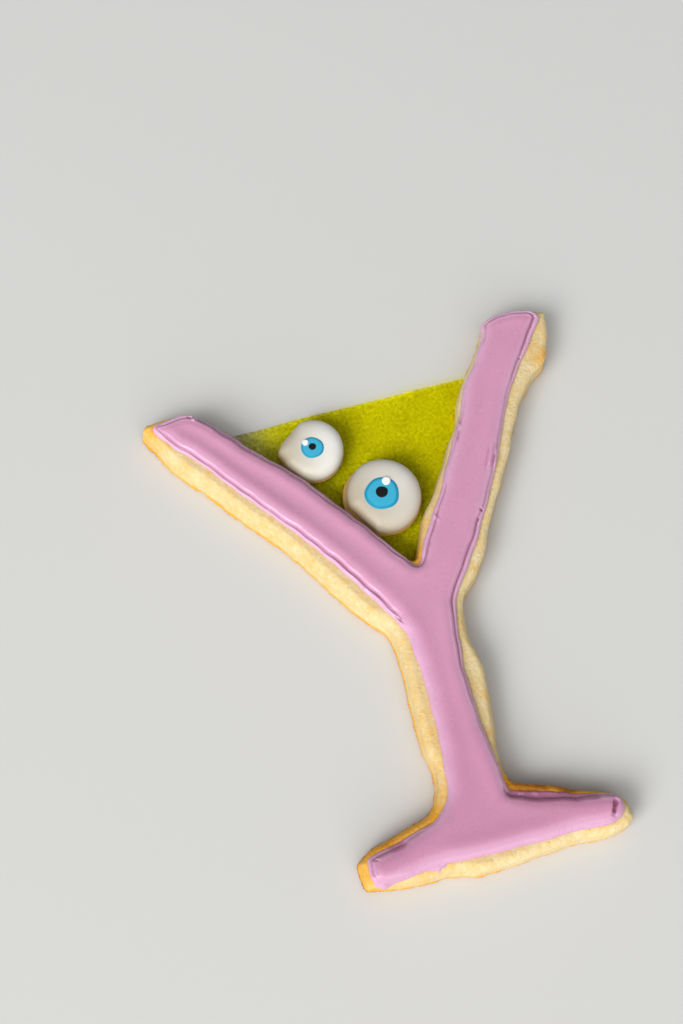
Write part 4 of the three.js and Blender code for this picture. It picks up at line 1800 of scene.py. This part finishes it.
@dataclass
class CandyDrink:
    """Clear candy poured flat between the arms, thinning towards its level line."""

    thickness: float = 2.6
    meniscus: float = 2.6
    meniscus_share: float = 0.3
    level_left: float = 119.5
    level_right: float = 118.2
    level_start: float = -31.0
    level_run: float = 60.0
    level_margin: float = 1.0
    tip_radius: float = 0.3
    into_wall: float = 0.25
    lift: float = 0.06
    least: float = 0.18
    thin_end: float = 0.09
    left_rise: float = 0.87
    left_run: Span = (-32.0, -11.0)
    right_rise: float = 0.3
    right_run: Span = (6.0, 18.0)
    edge_drop: float = 0.2
    edge_reach: float = 0.12
    wave: float = 0.03
    wave_size: float = 5.0
    step: float = 0.45
    insets: tuple[float, ...] = (0.08, 0.2, 0.4, 0.7, 1.0, 1.4, 1.9, 2.4)
    grid: float = 0.7
    under_inset: float = 1.0
    under_grid: float = 2.0
    grain: GrainField = field(default_factory=lambda: GrainField(37))

    def _corners(self) -> tuple[Corner, ...]:
        """Corners of the drink, counterclockwise from its left end.

        Returns:
            The corners, reaching a little into the baked walls.
        """
        grown = CutOutline(COOKIE_CORNERS).grown(-self.into_wall).corners
        start = COOKIE_CORNERS.index(RIGHT_INNER_START)
        fork = COOKIE_CORNERS.index(FORK_CORNER)
        left, right = grown[fork:], grown[start:fork + 1]
        wet = [corner for corner in left[1:] if corner[1] < self.level_left - self.level_margin]
        wet_right = [
            corner for corner in right[:-1] if corner[1] < self.level_right - self.level_margin
        ]
        return (
            (self._crossing(left, self.level_left), self.level_left, self.tip_radius),
            *reversed(wet), (*grown[fork], self.tip_radius), *reversed(wet_right),
            (self._crossing(right, self.level_right), self.level_right, self.tip_radius),
        )

    @staticmethod
    def _crossing(run: Sequence[Corner], level: float) -> float:
        """Where a run of corners crosses a level.

        Args:
            run: corners in order.
            level: the level's y.

        Returns:
            The crossing's x.
        """
        for (x0, y0), (x1, y1) in zip(run, run[1:]):
            if (y0 - level) * (y1 - level) <= 0.0:
                return x0 + (x1 - x0) * (level - y0) / (y1 - y0)
        raise ValueError("the run does not reach this level")

    def _height(self, filling: Filling) -> Array:
        """Height of the candy's top.

        Args:
            filling: the candy's top.

        Returns:
            Heights in millimetres.
        """
        across = filling.points[:, 0]
        slope = (self.level_right - self.level_left) / self.level_run
        level = self.level_left + slope * (across - self.level_start)
        below = np.clip((level - filling.points[:, 1]) / self.meniscus, 0.0, 1.0)
        curve = (1.0 - (1.0 - below) ** 2) ** 0.5
        height = self.thickness * (self.meniscus_share + (1.0 - self.meniscus_share) * curve)
        left = self.left_rise * smoothstep(*self.left_run, across)
        right = self.right_rise * smoothstep(*self.right_run, across)
        height = height * (self.thin_end + (left + right))
        height = height - self.edge_drop * np.exp(-filling.depth / self.edge_reach)
        height = height + self.wave * self.grain.layered(filling.points, self.wave_size) * below
        return np.maximum(height, self.least)

    def build(self, placement: Placement) -> bpy.types.Object:
        """Make the candy's mesh.

        Args:
            placement: where the glass's frame lies.

        Returns:
            The finished piece.
        """
        ring = CutOutline(self._corners()).trace(self.step)
        filling = Filling.inside(ring, self.insets, self.grid)
        shell = Shell()
        top = shell.points(with_height(filling.points, self._height(filling)))
        low = shell.points(with_height(ring, self.lift))
        shell.triangles(top[filling.faces])
        shell.wall(low, top[filling.rim])
        under = Filling.inside(ring, (self.under_inset,), self.under_grid)
        shell.cap(under, low, self.lift, flipped=True)
        return joined(shell.made("poured_candy", placement), LIME_CANDY, "candy_drink")


# ------------ candy eyes


def turned_off(angle: Array, towards: float) -> Array:
    """Angle between directions and one direction.

    Args:
        angle: directions in radians.
        towards: the one direction in degrees.

    Returns:
        Degrees from -180 to 180.
    """
    return (np.degrees(angle) - towards + 180.0) % 360.0 - 180.0


def all_round(segments: int) -> tuple[Array, Array]:
    """Directions all the way round.

    Args:
        segments: how many there are.

    Returns:
        Their angles in radians, and their unit directions.
    """
    angle = np.linspace(0.0, math.tau, segments, endpoint=False)
    return angle, np.stack([np.cos(angle), np.sin(angle)], axis=1)


@dataclass(frozen=True)
class Dot:
    """Round dot of icing on an eye, placed from the eye's centre."""

    x: float
    y: float
    radius: float
    height: float = 0.3
    stretch: float = 0.0
    stretch_angle: float = 0.0
    stretch_power: int = 6
    uneven: Span = (0.02, 0.012)
    segments: int = 72
    # share of the reach and of the height of each ring, from under the rim to the middle
    steps: tuple[Span, ...] = (
        (0.99, -0.25), (1.0, 0.2), (0.985, 0.45), (0.95, 0.72), (0.88, 0.9), (0.78, 1.0),
        (0.62, 1.0), (0.45, 1.0), (0.28, 1.0), (0.12, 1.0),
    )

    def reach(self, angle: Array) -> Array:
        """Distance from the dot's centre to its edge.

        Args:
            angle: directions in radians.

        Returns:
            The distances in millimetres.
        """
        facing = np.cos(angle - math.radians(self.stretch_angle))
        wobble = self.uneven[0] * np.sin(3.0 * angle + self.radius)
        wobble = wobble + self.uneven[1] * np.sin(5.0 * angle)
        stretch = self.stretch * facing**self.stretch_power * (facing > 0.0)
        return self.radius * (1.0 + wobble + stretch)


@dataclass(frozen=True)
class Press:
    """Flat side of an eye: the direction it faces and its distance from the centre."""

    angle: float
    distance: float
    softness: float = 0.8
    easing: float = 0.2
    least_facing: float = 0.05

    def flatten(self, angle: Array, reach: Array) -> Array:
        """Flatten a round edge on this side.

        Args:
            angle: directions in radians.
            reach: distances from the centre to the edge.

        Returns:
            The distances with this side flat.
        """
        facing = np.cos(np.radians(turned_off(angle, self.angle)))
        flat = self.distance / np.maximum(facing, self.least_facing)
        blend = np.clip(0.5 + (reach - flat) / self.softness, 0.0, 1.0)
        return reach + (flat - reach) * blend - self.easing * blend * (1.0 - blend)


@dataclass
class CandyEye:
    """Candy eye: a domed white with an iris, a pupil and a glint."""

    name: str
    x: float
    y: float
    radius: float
    height: float
    iris: Dot
    pupil: Dot
    glint: Dot
    presses: tuple[Press, ...]
    uneven: Span = (0.008, 0.006)
    stretch: float = 0.01
    stretch_angle: float = 74.0
    lip: float = 0.02
    lip_angle: float = 0.0
    lip_reach: float = 0.0
    lip_spread: float = 50.0
    # share of the outline and of the height of each ring of the lip, from below
    lip_steps: tuple[Span, ...] = ((0.97, 0.0), (0.992, 0.015), (1.0, 0.04), (0.995, 0.07))
    lip_top: float = 0.085
    lip_tan: Span = (0.9, 0.85)
    nub_angle: float = 0.0
    nub_reach: float = 0.0
    nub_spread: float = 11.0
    dome_power: float = 2.3
    dome_start: float = 0.25
    dome_rings: int = 25
    dome_crowding: float = 0.8
    round_power: float = 1.5
    dome_tan: float = 0.8
    dome_tan_fade: float = 9.0
    # painted shade on the white: this share all over, more on the side facing shade_angle, and
    # shade_middle of the rest at its middle
    shade: float = 0.0
    shade_angle: float = 214.0
    shade_middle: float = 0.3
    base: float = 3.0
    segments: int = 144

    def _outline(self, angle: Array) -> Array:
        """Distance from the centre to the white's lower edge.

        Args:
            angle: directions in radians.

        Returns:
            The distances in millimetres.
        """
        stretch = self.stretch * np.cos(2.0 * np.radians(turned_off(angle, self.stretch_angle)))
        wobble = self.uneven[0] * np.sin(2.0 * angle + self.radius)
        wobble = wobble + self.uneven[1] * np.sin(3.0 * angle)
        reach = self.radius * (1.0 + wobble + stretch)
        for press in self.presses:
            reach = press.flatten(angle, reach)
        nub = turned_off(angle, self.nub_angle) / self.nub_spread
        return reach + self.nub_reach * np.exp(-(nub**2))

    def _body_share(self, angle: Array) -> Array:
        """Share of the outline that the dome stands on, inside its thin lip.

        Args:
            angle: directions in radians.

        Returns:
            Shares below 1.
        """
        off = turned_off(angle, self.lip_angle) / self.lip_spread
        return 1.0 - self.lip - self.lip_reach * np.exp(-(off**4))

    def _dome(self, reach: Array | float) -> Array:
        """Rise of the dome from its lip to its top.

        Args:
            reach: share of the way out from the centre.

        Returns:
            Rise from 0 to 1.
        """
        inner = np.clip(reach, 0.0, 1.0) ** self.dome_power
        return self.dome_start + (1.0 - self.dome_start) * np.sqrt(1.0 - inner**2)

    def _painted_eye_shade(self, facing: Array | float, reach: float) -> Array:
        """How much shade is painted on the white.

        Args:
            facing: how far the place lies towards the shaded side, from 0 to 1.
            reach: share of the way out from the centre.

        Returns:
            Shares from 0 to 1.
        """
        side = facing * reach + self.shade_middle * (1.0 - reach)
        return self.shade + (1.0 - self.shade) * side

    def build(self, placement: Placement) -> None:
        """Make the eye's pieces.

        Args:
            placement: where the glass's frame lies.
        """
        self._white(placement)
        self._dot("iris", self.iris, 0.0, placement, IRIS_ICING)
        self._dot("pupil", self.pupil, self.iris.height, placement, PUPIL_ICING)
        self._dot("glint", self.glint, self.iris.height, placement, GLINT_ICING)

    def _white(self, placement: Placement) -> None:
        """Make the domed white.

        Args:
            placement: where the glass's frame lies.
        """
        angle, direction = all_round(self.segments)
        outline, body = self._outline(angle), self._body_share(angle)
        centre = np.array([self.x, self.y])
        facing = 0.5 + 0.5 * np.cos(np.radians(turned_off(angle, self.shade_angle)))
        shell = Shell()
        rings = []

        def ring(share: Array | float, rise: float, tan: float, reach: float = 1.0) -> None:
            """Add one ring at a share of the outline and a share of the height."""
            places = centre + direction * (outline * share)[:, None]
            places = with_height(places, self.base + self.height * rise)
            rings.append(shell.points(places, edge=tan, shade=self._painted_eye_shade(facing, reach)))

        for share, rise in self.lip_steps:
            ring(share, rise, self.lip_tan[0])
        ring(0.5 + 0.5 * body, self.lip_top, self.lip_tan[1])
        for turn in np.linspace(0.0, 0.5 * math.pi, self.dome_rings + 1)[:-1]:
            reach = math.cos(turn) ** self.dome_crowding
            round_share = (1.0 - reach) ** self.round_power
            share = body * reach * (1.0 - round_share + round_share * self.radius / outline)
            tan = self.dome_tan * max(0.0, 1.0 - self.dome_tan_fade * turn)
            ring(share, float(self._dome(reach)), tan, reach)
        ends = np.array([[*centre, self.base], [*centre, self.base + self.height]])
        shell.rounded(rings, ends, edge=0.0, shade=self._painted_eye_shade(0.0, 0.0))
        joined(shell.made(f"{self.name}_dome", placement), EYE_ICING, f"{self.name}_white")

    def _dot(self, label: str, dot: Dot, lift: float, placement: Placement, finish: Finish) -> None:
        """Make one dot, lying on the dome.

        Args:
            label: which dot it is.
            dot: its sizes.
            lift: how far it lies above the dome.
            placement: where the glass's frame lies.
            finish: its finish.
        """
        angle, direction = all_round(dot.segments)
        shell = Shell()
        rings = []
        for share, rise in dot.steps:
            flat = np.array([dot.x, dot.y]) + direction * (dot.reach(angle) * share)[:, None]
            away = np.hypot(flat[:, 0], flat[:, 1]) / self.radius
            height = self.base + self.height * self._dome(away) + lift + rise * dot.height
            rings.append(shell.points(with_height(flat + [self.x, self.y], height), radius=share))
        away = math.hypot(dot.x, dot.y) / self.radius
        middle = self.base + self.height * float(self._dome(away)) + lift
        x, y, sunk = self.x + dot.x, self.y + dot.y, dot.steps[0][1]
        ends = np.array([[x, y, middle + sunk * dot.height], [x, y, middle + dot.height]])
        shell.rounded(rings, ends, radius=0.0)
        joined(shell.made(f"{self.name}_{label}_dot", placement), finish, f"{self.name}_{label}")


LARGE_EYE = CandyEye(
    "large_eye", -0.85, 91.95, 9.65, 5.0,
    Dot(-0.5, -0.7, 4.1, 0.2, 0.07, 37.0), Dot(-0.4, -0.35, 1.45, 0.12, 0.05, 20.0),
    Dot(1.45, 2.1, 1.05, 0.25),
    presses=(Press(214.0, 8.3),), lip_angle=164.0, lip_reach=0.075, shade=0.25, shade_angle=205.0,
)
SMALL_EYE = CandyEye(
    "small_eye", -13.75, 108.35, 7.95, 4.5,
    Dot(-0.15, -0.65, 2.75, 0.2, 0.05, 130.0), Dot(-0.1, -0.45, 0.9, 0.12),
    Dot(-1.45, 1.05, 0.78, 0.25),
    presses=(Press(216.0, 7.7), Press(126.0, 7.1)), stretch=0.035,
    nub_angle=168.0, nub_reach=0.8, shade_angle=172.0,
)


# ------------ loose crumbs


@dataclass
class CrumbScatter:
    """Small crumbs that stand out of the cookie's wall and lower edge."""

    per_square_metre: float = 420000.0
    smallest: float = 0.09
    largest: float = 0.26
    seed: int = 7
    turn_seed: int = 3
    subdivisions: int = 2

    def _tree(self) -> bpy.types.NodeTree:
        """Build the node tree that scatters crumbs over a mesh.

        Returns:
            The geometry node tree, with named inputs for its sizes.
        """
        tree = bpy.data.node_groups.new("crumb_scatter", "GeometryNodeTree")
        given_kinds = {
            "Cookie": "Geometry", "Density": "Float", "Smallest": "Float", "Largest": "Float",
            "Seed": "Int", "Turn seed": "Int", "Finish": "Material",
        }
        for label, kind in given_kinds.items():
            tree.interface.new_socket(name=label, in_out="INPUT", socket_type=f"NodeSocket{kind}")
        tree.interface.new_socket(name="Crumbs", in_out="OUTPUT", socket_type="NodeSocketGeometry")
        sheet = NodeSheet(tree)
        given, result = sheet.add("NodeGroupInput"), sheet.add("NodeGroupOutput")
        mask = sheet.add("GeometryNodeInputNamedAttribute", {"Name": "crumbly"}, data_type="FLOAT")
        density = sheet.math("MULTIPLY", given.outputs["Density"], mask.outputs["Attribute"])
        spread = sheet.add("GeometryNodeDistributePointsOnFaces", {
            "Mesh": given.outputs["Cookie"], "Density": density, "Seed": given.outputs["Seed"],
        })
        place = sheet.add("GeometryNodeInputPosition").outputs["Position"]
        parts = sheet.add("ShaderNodeSeparateXYZ", {"Vector": place})
        clear = sheet.math("MAXIMUM", parts.outputs["Z"], given.outputs["Largest"])
        lifted = sheet.add("ShaderNodeCombineXYZ", {
            "X": parts.outputs["X"], "Y": parts.outputs["Y"], "Z": clear,
        })
        resting = sheet.add("GeometryNodeSetPosition", {
            "Geometry": spread.outputs["Points"], "Position": lifted.outputs["Vector"],
        })
        lump = sheet.add("GeometryNodeMeshIcoSphere", {
            "Radius": 1.0, "Subdivisions": self.subdivisions,
        })
        size = sheet.add("FunctionNodeRandomValue", {"Seed": given.outputs["Seed"]},
                         data_type="FLOAT_VECTOR")
        sheet.feed(size.inputs[0], given.outputs["Smallest"])
        sheet.feed(size.inputs[1], given.outputs["Largest"])
        turn = sheet.add("FunctionNodeRandomValue", {"Seed": given.outputs["Turn seed"]},
                         data_type="FLOAT_VECTOR")
        sheet.feed(turn.inputs[1], (math.tau, math.tau, math.tau))
        placed = sheet.add("GeometryNodeInstanceOnPoints", {
            "Points": resting.outputs["Geometry"], "Instance": lump.outputs["Mesh"],
            "Rotation": turn.outputs[0], "Scale": size.outputs[0],
        })
        real = sheet.add("GeometryNodeRealizeInstances", {"Geometry": placed.outputs["Instances"]})
        smooth = sheet.add("GeometryNodeSetShadeSmooth", {0: real.outputs["Geometry"]})
        dressed = sheet.add("GeometryNodeSetMaterial", {
            "Geometry": smooth.outputs[0], "Material": given.outputs["Finish"],
        })
        sheet.feed(result.inputs["Crumbs"], dressed.outputs["Geometry"])
        return tree

    def build(self, cookie: bpy.types.Object) -> bpy.types.Object:
        """Scatter the crumbs over the cookie and keep them as a plain mesh.

        Args:
            cookie: the cookie's mesh, with its `crumbly` attribute.

        Returns:
            The finished piece.
        """
        carrier = linked("crumb_carrier", cookie.data.copy())
        modifier = carrier.modifiers.new("crumbs", "NODES")
        modifier.node_group = self._tree()
        values = {
            "Density": self.per_square_metre, "Smallest": self.smallest * MM,
            "Largest": self.largest * MM, "Seed": self.seed, "Turn seed": self.turn_seed,
            "Finish": BAKED_DOUGH.made(),
        }
        for item in modifier.node_group.interface.items_tree:
            if item.in_out == "INPUT" and item.name in values:
                modifier[item.identifier] = values[item.name]
        graph = bpy.context.evaluated_depsgraph_get()
        mesh = bpy.data.meshes.new_from_object(carrier.evaluated_get(graph))
        bpy.data.objects.remove(carrier)
        mesh.materials.clear()
        return joined(linked("edge_crumbs", mesh), BAKED_DOUGH)


# ------------ stage


@dataclass(frozen=True)
class Lamp:
    """Soft square lamp that faces the cookie, in metres and in degrees from +X towards +Y."""

    name: str
    bearing: float
    elevation: float
    size: float
    watts: float
    distance: float = 3.4
    colour: Colour = (1.0, 0.99, 0.97)

    def hang(self) -> None:
        """Put the lamp up."""
        turn, rise = math.radians(self.bearing), math.radians(self.elevation)
        away = Vector((math.cos(turn) * math.cos(rise), math.sin(turn) * math.cos(rise), math.sin(rise)))
        data = bpy.data.lights.new(self.name, "AREA")
        data.shape = "SQUARE"
        data.size = self.size
        data.energy = self.watts
        data.color = self.colour
        lamp = linked(self.name, data)
        lamp.location = away * self.distance
        lamp.rotation_euler = (-away).to_track_quat("-Z", "Y").to_euler()


@dataclass
class Studio:
    """Pale floor, soft light and the camera; its own sizes are in millimetres."""

    target_x: float = -11.0
    target_y: float = 92.5
    elevation: float = 68.0
    azimuth: float = -16.3
    distance: float = 346.4
    lens: float = 50.0
    sensor: float = 36.0
    lamps: tuple[Lamp, ...] = (
        Lamp("wide_light", 247.0, 34.0, 6.0, 176.0), Lamp("key_light", 212.0, 40.0, 1.8, 80.0),
    )
    sky: tuple[float, ...] = (0.95, 0.97, 1.0, 1.0)
    sky_strength: float = 0.29
    floor_half: float = 1500.0
    floor_gap: float = 0.1
    floor_tone: tuple[float, ...] = (0.6, 0.6, 0.59, 1.0)
    floor_roughness: float = 0.9

    def build(self, placement: Placement) -> None:
        """Put up the floor, the lights and the camera.

        Args:
            placement: where the glass's frame lies.
        """
        target = Vector(placement.metres(np.array([[self.target_x, self.target_y, 0.0]]))[0])
        self._floor()
        self._camera(target)
        for lamp in self.lamps:
            lamp.hang()
        world = bpy.data.worlds.new("studio_air")
        world.use_nodes = True
        background = world.node_tree.nodes["Background"]
        background.inputs["Color"].default_value = self.sky
        background.inputs["Strength"].default_value = self.sky_strength
        bpy.context.scene.world = world
        bpy.context.scene.view_settings.view_transform = "Standard"

    def _floor(self) -> None:
        """Lay the pale floor just under the cookie."""
        half, low = self.floor_half * MM, -self.floor_gap * MM
        corners = [(-half, -half, low), (half, -half, low), (half, half, low), (-half, half, low)]
        mesh = bpy.data.meshes.new("floor")
        mesh.from_pydata(corners, [], [(0, 1, 2, 3)])
        floor = linked("floor", mesh)
        material = bpy.data.materials.new("pale_floor")
        material.use_nodes = True
        surface = material.node_tree.nodes["Principled BSDF"]
        surface.inputs["Base Color"].default_value = self.floor_tone
        surface.inputs["Roughness"].default_value = self.floor_roughness
        floor.data.materials.append(material)

    def _camera(self, target: Vector) -> None:
        """Aim the camera.

        Args:
            target: the point of the floor in the middle of the view, in metres.
        """
        azimuth, elevation = math.radians(self.azimuth), math.radians(self.elevation)
        looking = Vector((
            -math.sin(azimuth) * math.cos(elevation), math.cos(azimuth) * math.cos(elevation),
            -math.sin(elevation),
        ))
        data = bpy.data.cameras.new("camera")
        data.sensor_fit = "VERTICAL"
        data.sensor_height = self.sensor
        data.lens = self.lens
        camera = linked("camera", data)
        camera.location = target - looking * self.distance * MM
        camera.rotation_euler = looking.to_track_quat("-Z", "Y").to_euler()
        bpy.context.scene.camera = camera


def main() -> None:
    """Build every piece of the cookie, then the studio."""
    logging.basicConfig(level=logging.INFO, format="%(name)s: %(message)s")
    body = CookieBody()
    placement = Placement.from_solid("cookie", body.ring)
    LOG.info("placed at %.2f, %.2f mm", placement.shift_x, placement.shift_y)
    cookie = body.build(placement)
    CrumbScatter().build(cookie)
    RoyalIcing(body).build(placement)
    CandyDrink().build(placement)
    for eye in (SMALL_EYE, LARGE_EYE):
        eye.build(placement)
    Studio().build(placement)


if __name__ == "__main__":
    main()
